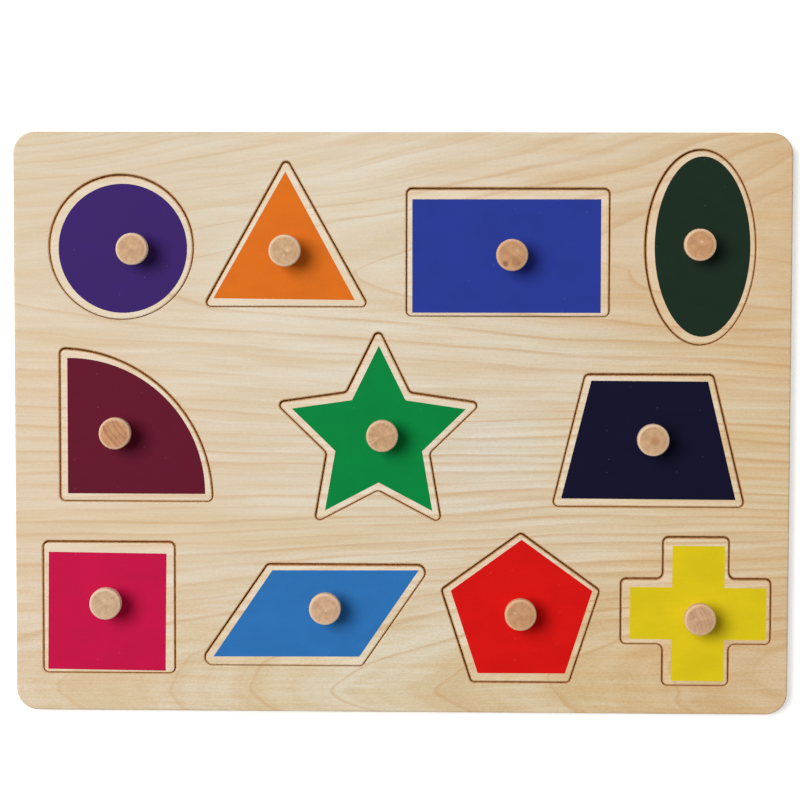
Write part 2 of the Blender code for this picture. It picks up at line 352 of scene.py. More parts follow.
class SawnGrain(Effect):
    """The growth lines, fibres and flecks of a plain-sawn veneer whose grain runs along X.

    The place is first bent by three layers of noise that are long along X. The ring number at a bent
    place (x, y) in millimetres is then (RINGS + x * spread) * row + OFFSET, where row is
    cos(pi * (y - UPPER_ROW) / ROW_SPACING). It stops changing with y at the upper row and one spacing
    below it, so the lines close to points there and lie densest halfway. Above the upper row,
    TILT * x * (y - UPPER_ROW) is added, which tilts the lines up to the right. Each line is drawn
    where the ring number is whole, at a width in millimetres: the distance from the whole number
    over the slope of the ring number. It darkens slowly on one side and ends sharply on the other.
    Between two lines the wood darkens a little towards the next one.
    """

    title = "sawn grain"
    takes = {"Place": SocketKind.VECTOR, "Wander": SocketKind.VALUE}
    gives = dict.fromkeys(("Latewood", "Bands", "Fibre", "Mottle", "Flecks"), SocketKind.VALUE)

    UPPER_ROW = 60.0
    ROW_SPACING = 160.0
    RINGS = 14.32
    OFFSET = -0.15
    SPREAD = 0.018
    SPREAD_CHANGE = 0.008
    TILT = 0.0007
    BENDS = (((150.0, 32.0, 50.0), (60.0, 12.0, 0.0)), ((46.0, 11.0, 50.0), (8.0, 2.6, 0.0)),
             ((11.0, 2.6, 50.0), (1.2, 0.4, 0.0)))
    SEED = 2553.0
    RAMP = 1.7
    SHARP = 0.55
    LINE_WEIGHT = (0.0, 1.0, 0.3, 1.0)
    RAMP_WEIGHT = (0.2, 0.9, 0.0, 0.5)
    RAMP_BY_SLOPE = (0.03, 0.12, 0.2, 1.0)
    LINE_BREAKS = (0.25, 0.6, 0.4, 1.0)
    BAND_SHARE = 0.65
    FIBRE_SHARE = 0.55
    FLECK_LIMITS = (0.70, 0.80)

    def draw(self, graph: Graph, inputs: Mapping[str, Wire]) -> Mapping[str, Wire]:
        """Work out the rings, then the fibres and flecks along them.

        The noises are read at places divided by their lumps' lengths in millimetres, or in rings.

        Args:
            graph: Where the nodes go.
            inputs: The place in millimetres, and how far the lines wander.

        Returns:
            The dark of the growth lines, broad bands along them, the light and dark of the fibres, a
            fine mottle and the short dark flecks.
        """
        bent = place = inputs["Place"]
        x, y, _ = graph.split(place)
        for lengths, reach in self.BENDS:
            bent = graph.moved(bent, place, lengths, reach, inputs["Wander"])
        bent_x, bent_y, _ = graph.split(bent)
        turn = (bent_y - self.UPPER_ROW) * (math.pi / self.ROW_SPACING)
        row = turn.cosine()
        spread = self.SPREAD - row * self.SPREAD_CHANGE
        height = bent_x * spread + self.RINGS
        above = graph.math(Calc.MAXIMUM, bent_y - self.UPPER_ROW, 0.0)
        ring = height * row + above * bent_x * self.TILT + self.OFFSET
        climb = height * turn.sine() * (math.pi / self.ROW_SPACING)
        slope = climb.diagonal(spread * row)
        whole = (ring + 0.5).floor()
        apart = (ring - whole) / slope
        weight = graph.chance(whole + self.SEED).rise(*self.LINE_WEIGHT)
        line = apart.rise(-self.RAMP, -0.1) * apart.rise(self.SHARP, 0.0) * weight
        ramp = ring.fraction().rise(0.1, 1.0) * graph.chance(ring.floor()).rise(*self.RAMP_WEIGHT)
        ramp = ramp * slope.rise(*self.RAMP_BY_SLOPE)
        within = graph.noise(graph.join(x / 60.0, ring * 4.0), detail=3.0, roughness=0.7)
        across = graph.noise(graph.join(x / 24.0, y / 0.55), detail=3.0, roughness=0.65)
        bands = graph.noise(graph.join(x / 75.0, ring * 0.9), roughness=0.6)
        streaks = graph.noise(graph.join(x / 45.0, bent_y / 2.6), roughness=0.6)
        flecks = graph.noise(graph.join(x / 3.2, y / 0.22), detail=1.0)
        return {
            "Latewood": graph.math(Calc.MAXIMUM, line, ramp) * within.rise(*self.LINE_BREAKS),
            "Bands": bands * self.BAND_SHARE + streaks * (1.0 - self.BAND_SHARE),
            "Fibre": across * self.FIBRE_SHARE + within * (1.0 - self.FIBRE_SHARE),
            "Mottle": graph.noise(graph.join(x / 1.5, y / 0.6), detail=3.0, roughness=1.0),
            "Flecks": flecks.rise(*self.FLECK_LIMITS),
        }


class Scorch(Effect):
    """The brown that a laser leaves beside and on a cut, deeper where it dwelt."""

    title = "scorch"
    takes = {"Place": SocketKind.VECTOR, "Depth": SocketKind.VALUE, "Wood": SocketKind.COLOUR}
    gives = {"Color": SocketKind.COLOUR}

    TAN = srgb(206, 164, 116)
    BROWN = srgb(148, 98, 54)
    CHAR = srgb(70, 42, 24)
    PATCH_LENGTHS = (1.6, 1.6, 3.0)
    PATCHINESS = (0.25, 0.75, 0.8, 1.15)

    def draw(self, graph: Graph, inputs: Mapping[str, Wire]) -> Mapping[str, Wire]:
        """Blend the wood to tan, brown and char in three steps of depth.

        Args:
            graph: Where the nodes go.
            inputs: The place, the depth from 0 to 1, and the colour of the bare wood.

        Returns:
            The scorched colour.
        """
        depth = inputs["Depth"] * graph.noise(inputs["Place"], self.PATCH_LENGTHS).rise(*self.PATCHINESS)
        colour = graph.blend(depth.rise(0.0, 0.35), inputs["Wood"], self.TAN)
        colour = graph.blend(depth.rise(0.3, 0.7), colour, self.BROWN)
        return {"Color": graph.blend(depth.rise(0.7, 1.1), colour, self.CHAR)}


class Specks(Effect):
    """Sparse round specks of dust or pinholes, one at most in each cell of a loose pattern."""

    title = "specks"
    takes = {"Place": SocketKind.VECTOR, "Spacing": SocketKind.VALUE, "Size": SocketKind.VALUE}
    gives = {"Mask": SocketKind.VALUE}

    CHOSEN = (0.6, 1.0)
    FADE = (1.0, 0.5)

    def draw(self, graph: Graph, inputs: Mapping[str, Wire]) -> Mapping[str, Wire]:
        """Mark the places that lie close to a cell's own point, in some of the cells.

        Args:
            graph: Where the nodes go.
            inputs: The place, how far the cells lie apart, and a speck's radius, in millimetres.

        Returns:
            How strong the speck is, up to 1, and 0 elsewhere.
        """
        scale = graph.math(Calc.DIVIDE, 1.0, inputs["Spacing"])
        cells = graph.add("ShaderNodeTexVoronoi", {"Vector": inputs["Place"], "Scale": scale},
                          voronoi_dimensions="2D", feature="F1")
        near = Wire(graph, cells.outputs["Distance"]) * inputs["Spacing"] / inputs["Size"]
        random = graph.wire("ShaderNodeSeparateColor", "Red", {"Color": Wire(graph, cells.outputs["Color"])})
        return {"Mask": near.rise(*self.FADE) * random.rise(*self.CHOSEN)}


class TurnedGrain(Effect):
    """The end grain of a turned peg: growth rings about its pith, rays out from it, and fine pores."""

    title = "turned grain"
    takes = {"Place": SocketKind.VECTOR, "Pith": SocketKind.VECTOR, "Ring Width": SocketKind.VALUE}
    gives = dict.fromkeys(("Rings", "Rays", "Pores", "Blotches", "Streaks", "Disc"), SocketKind.VALUE)

    DISC_RADIUS = 5.3
    RIM_BLUR = 0.45
    RAYS = 16.0

    def draw(self, graph: Graph, inputs: Mapping[str, Wire]) -> Mapping[str, Wire]:
        """Measure each place from the pith and from the peg's axis.

        Args:
            graph: Where the nodes go.
            inputs: The place in millimetres from the middle of the head's top, where the pith lies
                from there, and the width of a growth ring.

        Returns:
            The rings, rays, pores and blotches of the head's flat disc, the streaks down the sides,
            and 1 on the disc.
        """
        place = inputs["Place"]
        x, y, z = graph.split(place)
        pith_x, pith_y, _ = graph.split(inputs["Pith"])
        from_x, from_y = x - pith_x, y - pith_y
        reach = from_x.diagonal(from_y)
        turn = graph.math(Calc.ANGLE, from_y, from_x)
        uneven = graph.noise(place, (3.0, 3.0, 3.0))
        years = graph.join(reach / inputs["Ring Width"] + uneven * 0.8, pith_x)
        edge = x.diagonal(y) + (uneven - 0.5) * 0.5
        disc = edge.rise(self.DISC_RADIUS + self.RIM_BLUR, self.DISC_RADIUS - self.RIM_BLUR)
        return {
            "Rings": graph.noise(years, roughness=0.6),
            "Rays": graph.noise(graph.join(turn * self.RAYS, reach / 5.0, pith_y)),
            "Pores": graph.noise(place, (0.34, 0.34, 0.8), roughness=0.6),
            "Blotches": graph.noise(place, (3.2, 3.2, 3.0), detail=3.0, roughness=0.65),
            "Streaks": graph.noise(place, (0.5, 0.5, 6.0), detail=3.0, roughness=0.6),
            "Disc": disc * z.rise(-1.0, -0.5),
        }


class Finish(ABC):
    """What covers a surface: a material built from nodes."""

    name: str

    @abstractmethod
    def paint(self, graph: Graph, shader: bpy.types.Node) -> None:
        """Add the nodes, and feed the shader with them."""

    def material(self) -> bpy.types.Material:
        """Build the material once.

        Returns:
            The material, the same one at each call.
        """
        found = bpy.data.materials.get(self.name)
        if found is not None:
            return found
        material = bpy.data.materials.new(self.name)
        material.use_nodes = True
        self.paint(Graph(material.node_tree), material.node_tree.nodes["Principled BSDF"])
        return material


@dataclass(frozen=True)
class Patch:
    """A wide soft patch of another tone in the veneer; its middle and reach are in millimetres."""

    middle: Pair
    reach: Pair
    tint: Colour

    def cast(self, graph: Graph, place: Wire, tone: Wire) -> Wire:
        """Tint the tone inside the patch, strongest in its middle.

        Args:
            graph: The material's nodes.
            place: The place in millimetres.
            tone: The tone so far.

        Returns:
            The tone with the patch.
        """
        x, y, _ = graph.split(place)
        from_x = (x - self.middle[0]) / self.reach[0]
        reach = from_x.diagonal((y - self.middle[1]) / self.reach[1])
        return graph.blend(reach.rise(1.0, 0.3), tone, graph.tinted(tone, self.tint))


@dataclass(frozen=True)
class Veneer(Finish):
    """Sanded pale veneer, whose tone drifts along the board and browns beside a cut.

    A step of four numbers starts and ends at two places in millimetres, with a value at each end.
    """

    name: str
    left: Colour = srgb(218, 198, 169)
    middle: Colour = srgb(219, 206, 182)
    right: Colour = srgb(213, 184, 144)
    line: Colour = srgb(196, 147, 90)
    fleck: Colour = srgb(176, 138, 96)
    amber: Colour = srgb(214, 174, 124)
    pale: Colour = (1.05, 1.085, 1.14, 1.0)
    deep: Colour = (0.935, 0.9, 0.84, 1.0)
    band_pale: Colour = (1.035, 1.07, 1.14, 1.0)
    band_deep: Colour = (0.96, 0.91, 0.82, 1.0)
    line_share: float = 0.45
    fleck_share: float = 0.3
    patches: tuple[Patch, ...] = ()
    wander: float = 1.0
    shift: Point = (0.0, 0.0, 0.0)
    roughness: Pair = (0.44, 0.56)

    RELIEF = 0.00004
    DRIFT_LENGTHS = (90.0, 60.0, 60.0)
    DRIFT_REACH = 120.0
    LEFT_TO_MIDDLE = (-150.0, 10.0)
    MIDDLE_TO_RIGHT = (-20.0, 150.0)
    AMBER_LENGTHS = (110.0, 7.0, 60.0)
    AMBER_LIMITS = (0.48, 0.72)
    AMBER_ALONG = (0.0, 140.0, 0.15, 0.6)
    PATCH_LENGTHS = (60.0, 16.0, 50.0)
    PATCH_REACH = (70.0, 12.0, 0.0)
    LIVELY_ALONG = (-120.0, 120.0, 0.78, 1.22)
    LIVELY_ACROSS = (40.0, 95.0, 1.0, 0.75)
    LIVELIER_BELOW = (-40.0, -95.0, 0.0, 1.0)
    BAND_LIMITS = (0.34, 0.66)
    FIBRE_LIMITS = (0.32, 0.68)

    def base(self, graph: Graph, place: Wire) -> Wire:
        """Let the tone drift from the left end to the right, with amber streaks and patches in it.

        Args:
            graph: The material's nodes.
            place: The place in millimetres.

        Returns:
            The tone without its grain.
        """
        x, _, _ = graph.split(place)
        drift = x + (graph.noise(place, self.DRIFT_LENGTHS, detail=1.0) - 0.5) * self.DRIFT_REACH
        tone = graph.blend(drift.rise(*self.LEFT_TO_MIDDLE), self.left, self.middle)
        tone = graph.blend(drift.rise(*self.MIDDLE_TO_RIGHT), tone, self.right)
        warm = graph.noise(place, self.AMBER_LENGTHS).rise(*self.AMBER_LIMITS)
        tone = graph.blend(warm * drift.rise(*self.AMBER_ALONG), tone, self.amber)
        loose = graph.moved(place, place, self.PATCH_LENGTHS, self.PATCH_REACH)
        for patch in self.patches:
            tone = patch.cast(graph, loose, tone)
        return tone

    def paint(self, graph: Graph, shader: bpy.types.Node) -> None:
        """Lay growth lines, fibres, flecks and scorch over the drifting tone.

        Args:
            graph: The material's nodes.
            shader: Its Principled BSDF.
        """
        place = graph.place(self.shift)
        grain = SawnGrain().use(graph, {"Place": place, "Wander": self.wander})
        x, y, _ = graph.split(place)
        lively = x.rise(*self.LIVELY_ALONG) * y.rise(*self.LIVELY_ACROSS)
        gain = lively + y.rise(*self.LIVELIER_BELOW)
        bands = (grain["Bands"] - 0.5) * gain + 0.5
        swell = graph.blend(bands.rise(*self.BAND_LIMITS), self.band_pale, self.band_deep)
        tone = graph.tinted(self.base(graph, place), swell)
        tone = graph.blend(grain["Latewood"] * lively * self.line_share, tone, self.line)
        fibre = (grain["Fibre"] * 0.5 + grain["Mottle"] * 0.65 - 0.575) * gain + 0.5
        tone = graph.tinted(tone, graph.blend(fibre.rise(*self.FIBRE_LIMITS), self.pale, self.deep))
        tone = graph.blend(grain["Flecks"] * self.fleck_share, tone, self.fleck)
        scorched = Scorch().use(graph, {"Place": place, "Depth": graph.attribute("char"), "Wood": tone})
        height = grain["Fibre"] * 0.5 + grain["Latewood"] * 0.5
        graph.feed(shader, {"Base Color": scorched["Color"],
                            "Roughness": grain["Fibre"].rise(0.2, 0.8, *self.roughness),
                            "Normal": graph.bump(height, self.RELIEF), "Specular IOR Level": WOOD_SHINE})


@dataclass(frozen=True)
class PrintedInk(Finish):
    """Flat ink printed on the veneer, with the wood's relief and a few pale specks in it."""

    name: str
    ink: Colour
    speck: Colour = srgb(196, 196, 190)
    speck_share: float = 0.1
    specular: float = 0.045

    RELIEF = 0.00003

    def paint(self, graph: Graph, shader: bpy.types.Node) -> None:
        """Mottle the ink and add its specks.

        Args:
            graph: The material's nodes.
            shader: Its Principled BSDF.
        """
        place = graph.place()
        grain = SawnGrain().use(graph, {"Place": place, "Wander": 1.0})
        cloud = graph.noise(place, (14.0, 9.0, 9.0), detail=3.0)
        fine = graph.noise(place, (0.7, 0.5, 0.5))
        light = cloud.rise(0.25, 0.75, 0.95, 1.04) * fine.rise(0.2, 0.8, 0.97, 1.03)
        light = light * grain["Fibre"].rise(0.25, 0.75, 1.015, 0.985)
        tone = graph.tinted(self.ink, graph.grey(light))
        specks = Specks().use(graph, {"Place": place, "Spacing": 9.0, "Size": 0.28})
        height = grain["Fibre"] * 0.6 + fine * 0.4
        graph.feed(shader, {"Base Color": graph.blend(specks["Mask"] * self.speck_share, tone, self.speck),
                            "Roughness": cloud.rise(0.2, 0.8, 0.46, 0.56),
                            "Normal": graph.bump(height, self.RELIEF), "Specular IOR Level": self.specular})


@dataclass(frozen=True)
class CutWall(Finish):
    """The wall of a laser-cut line: lightly browned, with fine upright streaks."""

    name: str
    wood: Colour = srgb(248, 200, 136)
    depth: Pair = (0.0, 0.2)
    ply: float = 1.06
    ply_start: float = 0.45
    ply_share: float = 0.12

    RELIEF = 0.00005

    def paint(self, graph: Graph, shader: bpy.types.Node) -> None:
        """Scorch the wood by upright streaks and by plies.

        Args:
            graph: The material's nodes.
            shader: Its Principled BSDF.
        """
        place = graph.place()
        streaks = graph.noise(place, (0.35, 0.35, 7.0), detail=3.0, roughness=0.6)
        _, _, z = graph.split(place)
        plies = (z / self.ply + self.ply_start).fraction().rise(0.0, 0.15) * self.ply_share
        depth = streaks.rise(0.3, 0.7, *self.depth) - plies
        scorched = Scorch().use(graph, {"Place": place, "Depth": depth, "Wood": self.wood})
        graph.feed(shader, {"Base Color": scorched["Color"], "Normal": graph.bump(streaks, self.RELIEF),
                            "Roughness": 0.8, "Specular IOR Level": 0.2})


@dataclass(frozen=True)
class PlyEdge(Finish):
    """The sanded outer edge of the board, where the plies of a sheet lie on each other."""

    name: str
    floor: float
    ply: float
    along: Colour = srgb(219, 196, 162)
    across: Colour = srgb(190, 157, 116)
    glue: Colour = srgb(136, 100, 66)
    glue_share: float = 0.55

    RELIEF = 0.00006
    WAVE_LENGTHS = (18.0, 18.0, 30.0)
    WAVE_HEIGHT = 0.22

    def paint(self, graph: Graph, shader: bpy.types.Node) -> None:
        """Give every second ply its end grain, and darken the glue between plies.

        Args:
            graph: The material's nodes.
            shader: Its Principled BSDF.
        """
        place = graph.place()
        _, _, z = graph.split(place)
        wave = (graph.noise(place, self.WAVE_LENGTHS) - 0.5) * self.WAVE_HEIGHT
        layer = (z + wave - self.floor * MILLIMETRES) / (self.ply * MILLIMETRES)
        crossed = (layer / 2.0).fraction().over(0.5)
        within = layer.fraction()
        seam = within.rise(0.09, 0.0) + within.rise(0.93, 1.0)
        fibre = graph.noise(place, (9.0, 9.0, 0.16), detail=3.0, roughness=0.6)
        pores = graph.noise(place, (0.28, 0.28, 0.5), roughness=0.7)
        light = fibre.rise(0.25, 0.75, 0.93, 1.05) * pores.rise(0.3, 0.7, 0.9, 1.04)
        tone = graph.tinted(graph.blend(crossed, self.along, self.across), graph.grey(light))
        height = fibre * 0.5 + pores * 0.5
        graph.feed(shader, {"Base Color": graph.blend(seam * self.glue_share, tone, self.glue),
                            "Roughness": pores.rise(0.2, 0.8, 0.55, 0.7),
                            "Normal": graph.bump(height, self.RELIEF), "Specular IOR Level": WOOD_SHINE})


@dataclass(frozen=True)
class Knot:
    """A small spot in a peg's head; its place from the head's middle and its radius in millimetres."""

    place: Pair
    radius: float
    colour: Colour = srgb(134, 84, 52)
    share: float = 0.85

    CORE = 0.2
    FRAY = 1.2

    def lay(self, graph: Graph, grain: Mapping[str, Wire], place: Wire, disc: Wire) -> Wire:
        """Lay the knot over the disc's colour.

        Args:
            graph: The material's nodes.
            grain: The peg's grain, whose pores fray the knot's edge.
            place: The place from the head's middle.
            disc: The colour so far.

        Returns:
            The colour with the knot.
        """
        x, y, _ = graph.split(place)
        reach = (x - self.place[0]).diagonal(y - self.place[1]) + (grain["Pores"] - 0.5) * self.FRAY
        return graph.blend(reach.rise(self.radius, self.CORE * self.radius) * self.share, disc, self.colour)


@dataclass(frozen=True)
class TurnedWood(Finish):
    """A turned peg: darker end grain on the head's disc, and paler wood round its rim and sides."""

    name: str
    centre: Point
    end: Colour
    rim: Colour
    dark: Colour
    pith: Pair
    ring_width: float
    rings: float
    rays: float
    knots: tuple[Knot, ...]
    blotch: Colour = (0.84, 0.81, 0.78, 1.0)
    glow: Colour = (1.13, 1.14, 1.15, 1.0)
    roughness: Pair = (0.48, 0.66)

    RELIEF = 0.00005
    RING_LIMITS = (0.42, 0.64)
    RAY_LIMITS = (0.5, 0.66)
    BLOTCH_LIMITS = (0.34, 0.66)
    BLOTCH_SHARE = 0.8
    STREAK_LIGHT = (0.25, 0.75, 0.93, 1.04)

    def paint(self, graph: Graph, shader: bpy.types.Node) -> None:
        """Colour the disc by rings, rays and pores, and the sides by streaks.

        Args:
            graph: The material's nodes.
            shader: Its Principled BSDF.
        """
        place = graph.place(self.centre)
        inputs = {"Place": place, "Pith": (*self.pith, 0.0), "Ring Width": self.ring_width}
        grain = TurnedGrain().use(graph, inputs)
        disc = graph.blend(grain["Rings"].rise(*self.RING_LIMITS) * self.rings, self.end, self.dark)
        disc = graph.blend(grain["Rays"].rise(*self.RAY_LIMITS) * self.rays, disc, self.dark)
        light = grain["Pores"] * (1.0 - self.BLOTCH_SHARE) + grain["Blotches"] * self.BLOTCH_SHARE
        disc = graph.tinted(disc, graph.blend(light.rise(*self.BLOTCH_LIMITS), self.glow, self.blotch))
        for knot in self.knots:
            disc = knot.lay(graph, grain, place, disc)
        side = graph.tinted(self.rim, graph.grey(grain["Streaks"].rise(*self.STREAK_LIGHT)))
        height = grain["Pores"] * grain["Disc"] + grain["Streaks"] * 0.3
        graph.feed(shader, {"Base Color": graph.blend(grain["Disc"], side, disc),
                            "Roughness": grain["Disc"].rise(0.0, 1.0, *self.roughness),
                            "Normal": graph.bump(height, self.RELIEF), "Specular IOR Level": WOOD_SHINE})


@dataclass(frozen=True)
class PaleFloor(Finish):
    """A floor that the camera and the reflections see lit to white, with the shadow kept."""

    name: str
    tone: Colour = srgb(232, 231, 229)
    glow: float = 0.5

    def paint(self, graph: Graph, shader: bpy.types.Node) -> None:
        """Let the floor glow on the rays that show it.

        Args:
            graph: The material's nodes.
            shader: Its Principled BSDF.
        """
        rays = graph.add("ShaderNodeLightPath", {})
        seen = graph.math(Calc.MAXIMUM, Wire(graph, rays.outputs["Is Camera Ray"]),
                          Wire(graph, rays.outputs["Is Glossy Ray"]))
        graph.feed(shader, {"Base Color": self.tone, "Roughness": 0.9, "Specular IOR Level": 0.0,
                            "Emission Color": WHITE, "Emission Strength": seen * self.glow})


def unit(turn: FloatArray) -> FloatArray:
    """Return the point (cos turn, sin turn) at each turn, on a last axis of two."""
    return np.stack((np.cos(turn), np.sin(turn)), axis=-1)


class Outline(ABC):
    """A closed outline about the middle of its shape, run anticlockwise, which can be moved outwards."""

    @abstractmethod
    def rings(self, out: FloatArray) -> FloatArray:
        """Return the outline at each distance outwards, as an array (distances, points, 2)."""

    @abstractmethod
    def normals(self) -> FloatArray:
        """Return the direction outwards at each point, as an array (points, 2)."""

    @abstractmethod
    def inside(self, margin: float) -> FloatArray:
        """Return a sharp-cornered outline that lies inside this one by the margin."""

    def middle(self) -> FloatArray:
        """Return the middle of the outline's box."""
        ring = self.rings(np.zeros(1))[0]
        return (ring.min(axis=0) + ring.max(axis=0)) / 2


@dataclass(frozen=True)
class Ellipse(Outline):
    """An ellipse or circle: the point at a turn t is (cos t * width / 2, sin t * height / 2)."""

    width: float
    height: float
    steps: int = 144

    def _turns(self) -> tuple[FloatArray, FloatArray]:
        """Work out the points of a unit circle, and the ellipse's normals there.

        Returns:
            The points, and the direction outwards at each of the ellipse's.
        """
        circle = unit(math.tau * np.arange(self.steps) / self.steps)
        normals = circle * (self.height, self.width)
        return circle, normals / np.linalg.norm(normals, axis=1, keepdims=True)

    def rings(self, out: FloatArray) -> FloatArray:
        """Return the ellipse's rings, each point moved along its normal by the distances."""
        circle, normals = self._turns()
        return circle * (self.width / 2, self.height / 2) + np.asarray(out)[:, None, None] * normals

    def normals(self) -> FloatArray:
        """Return the direction outwards at each point."""
        return self._turns()[1]

    def inside(self, margin: float) -> FloatArray:
        """Return the ellipse moved inwards by the margin."""
        return self.rings(np.array([-margin]))[0]


@dataclass(frozen=True)
class QuarterCircle(Outline):
    """A quarter of a disc whose square corner is low left; its corners are arcs too."""

    radius: float
    rounding: float
    steps: int = 10
    arc_steps: int = 48
    print_radius: float = 0.05264
    print_centre: Pair = (0.00372, 0.00295)

    def _arcs(self) -> tuple[FloatArray, FloatArray, FloatArray]:
        """Lay out the three corner arcs and the long arc, from the square corner on.

        The end arcs touch a straight side and the long arc, so each centre lies at the rounding from
        its side, and the radius less the rounding from the square corner.

        Returns:
            Each point's arc centre, arc radius and direction outwards.
        """
        small = self.rounding
        reach = math.sqrt((self.radius - small) ** 2 - small ** 2)
        tilt = math.atan2(small, reach)
        quarter = math.pi / 2
        spans = ((small, small, small, 2 * quarter, 3 * quarter, self.steps),
                 (reach, small, small, -quarter, tilt, self.steps),
                 (0.0, 0.0, self.radius, tilt, quarter - tilt, self.arc_steps),
                 (small, reach, small, quarter - tilt, 2 * quarter, self.steps))
        turns = [np.linspace(start, end, count + 1) for *_, start, end, count in spans]
        turns[2] = turns[2][1:-1]
        counts = [len(turn) for turn in turns]
        centres = np.repeat([span[:2] for span in spans], counts, axis=0) - self.radius / 2
        radii = np.repeat([span[2] for span in spans], counts)
        return centres, radii, unit(np.concatenate(turns))

    def rings(self, out: FloatArray) -> FloatArray:
        """Return the rings, every arc grown about its own centre by the distances."""
        centres, radii, normals = self._arcs()
        return centres + (radii + np.asarray(out)[:, None])[..., None] * normals

    def normals(self) -> FloatArray:
        """Return the direction outwards at each point."""
        return self._arcs()[2]

    def inside(self, margin: float) -> FloatArray:
        """Run the two straight sides at the margin, and the printed arc about a centre of its own.

        The arc starts and ends where it meets the straight sides: its turn's sine, times the radius,
        is the margin less the centre's Y, and its cosine likewise at the other end.

        Args:
            margin: How far inside the straight sides lie.

        Returns:
            The outline.
        """
        centre_x, centre_y = self.print_centre
        start = math.asin((margin - centre_y) / self.print_radius)
        end = math.acos((margin - centre_x) / self.print_radius)
        arc = self.print_radius * unit(np.linspace(start, end, self.arc_steps + 1)) + self.print_centre
        return np.vstack(([[margin, margin]], arc)) - self.radius / 2


@dataclass(frozen=True, eq=False)
class Polygon(Outline):
    """A polygon whose corners are rounded by arcs.

    A corner's arc has its centre on the bisector, at rounding / cos(half the bend) from the corner:
    inside at a convex corner, and outside at a hollow one. Its centre stays when the outline grows.
    """

    corners: FloatArray
    roundings: FloatArray
    steps: int = 10

    def _bends(self) -> tuple[FloatArray, FloatArray, FloatArray]:
        """Measure the turn at each corner.

        Returns:
            The corners about the middle of their box, the angle of the normal before each corner, and
            how far the normal turns there, which is negative at a hollow corner.
        """
        low, high = self.corners.min(axis=0), self.corners.max(axis=0)
        corners = self.corners - (low + high) / 2
        ahead = np.roll(corners, -1, axis=0) - corners
        angles = np.arctan2(ahead[:, 1], ahead[:, 0]) - math.pi / 2
        start = np.roll(angles, 1)
        bend = (angles - start + math.pi) % math.tau - math.pi
        return corners, start, bend

    def rings(self, out: FloatArray) -> FloatArray:
        """Grow every corner's arc about its own centre.

        Args:
            out: The distances outwards.

        Returns:
            The rings.
        """
        corners, start, bend = self._bends()
        side = np.sign(bend)
        reach = side * self.roundings / np.cos(bend / 2)
        centres = corners - reach[:, None] * unit(start + bend / 2)
        radii = side * self.roundings + np.asarray(out)[:, None]
        normals = self.normals().reshape(len(corners), self.steps + 1, 2)
        points = centres[None, :, None, :] + radii[:, :, None, None] * normals[None]
        return points.reshape(len(radii), -1, 2)

    def normals(self) -> FloatArray:
        """Turn the normal evenly through each corner's bend.

        Returns:
            The directions outwards.
        """
        _, start, bend = self._bends()
        turn = start[:, None] + bend[:, None] * np.linspace(0.0, 1.0, self.steps + 1)
        return unit(turn).reshape(-1, 2)

    def inside(self, margin: float) -> FloatArray:
        """Return the sharp corners, each moved along its bisector by margin / cos(half the bend)."""
        corners, start, bend = self._bends()
        return corners - (margin / np.cos(bend / 2))[:, None] * unit(start + bend / 2)


CORNER_ROUNDING = 0.0018
POINT_ROUNDING = 0.0014
NOTCH_ROUNDING = 0.0028
TIP_ROUNDING = 0.0028


def rectangle(length: float, width: float, rounding: float = CORNER_ROUNDING) -> Polygon:
    """Return a rectangle with its length along X and its width along Y."""
    corners = np.array(((-1, -1), (1, -1), (1, 1), (-1, 1))) * (length / 2, width / 2)
    return Polygon(corners, np.full(4, rounding))


def triangle(base: float, height: float) -> Polygon:
    """Return a triangle that stands on its base."""
    corners = np.array(((-base / 2, 0), (base / 2, 0), (0, height)))
    return Polygon(corners, np.full(3, POINT_ROUNDING))


def trapezoid(base: float, top: float, height: float) -> Polygon:
    """Return a trapezoid that stands on its longer side."""
    corners = np.array(((-base / 2, 0), (base / 2, 0), (top / 2, height), (-top / 2, height)))
    return Polygon(corners, np.full(4, CORNER_ROUNDING))


def parallelogram(base: float, slant: float, height: float) -> Polygon:
    """Return a parallelogram whose top is shifted to +X by the slant."""
    corners = np.array(((0, 0), (base, 0), (base + slant, height), (slant, height)))
    return Polygon(corners, np.resize([TIP_ROUNDING, CORNER_ROUNDING], 4))


def around(radii: Sequence[float], sides: int) -> FloatArray:
    """Return points evenly round a middle, the first at the top; the radii are used in turn."""
    turn = math.pi / 2 + math.tau * np.arange(sides) / sides
    return np.resize(radii, sides)[:, None] * unit(turn)


def pentagon(radius: float) -> Polygon:
    """Return a regular pentagon that points up."""
    return Polygon(around([radius], 5), np.full(5, POINT_ROUNDING))


def star(tip: float, notch: float) -> Polygon:
    """Return a star of five tips; tip and notch are measured from its middle."""
    return Polygon(around([tip, notch], 10), np.resize([POINT_ROUNDING, NOTCH_ROUNDING], 10))


def cross(span: float, arm: float) -> Polygon:
    """Make a cross of four equal arms, as the first arm turned by quarters.

    Args:
        span: Its whole length and width.
        arm: The width of an arm.

    Returns:
        The outline.
    """
    first = np.array(((span / 2, -arm / 2), (span / 2, arm / 2), (arm / 2, arm / 2)))
    quarter = np.array(((0, 1), (-1, 0)))
    corners = np.vstack([first @ np.linalg.matrix_power(quarter, turns) for turns in range(4)])
    return Polygon(corners, np.resize([CORNER_ROUNDING, CORNER_ROUNDING, NOTCH_ROUNDING], 12))


class Surface(Enum):
    """The surfaces of a piece that have a finish of their own."""

    FACE = 0
    PRINT = 1
    CUT = 2
    EDGE = 3
    BACK = 4


class Edge(Enum):
    """Whether an outline bounds the wood or is a hole in it; the value turns its normals round."""

    RIM = 1
    HOLE = -1


class Facing(Enum):
    """Which way a flat face looks; the value is its normal's Z."""

    UP = 1
    DOWN = -1


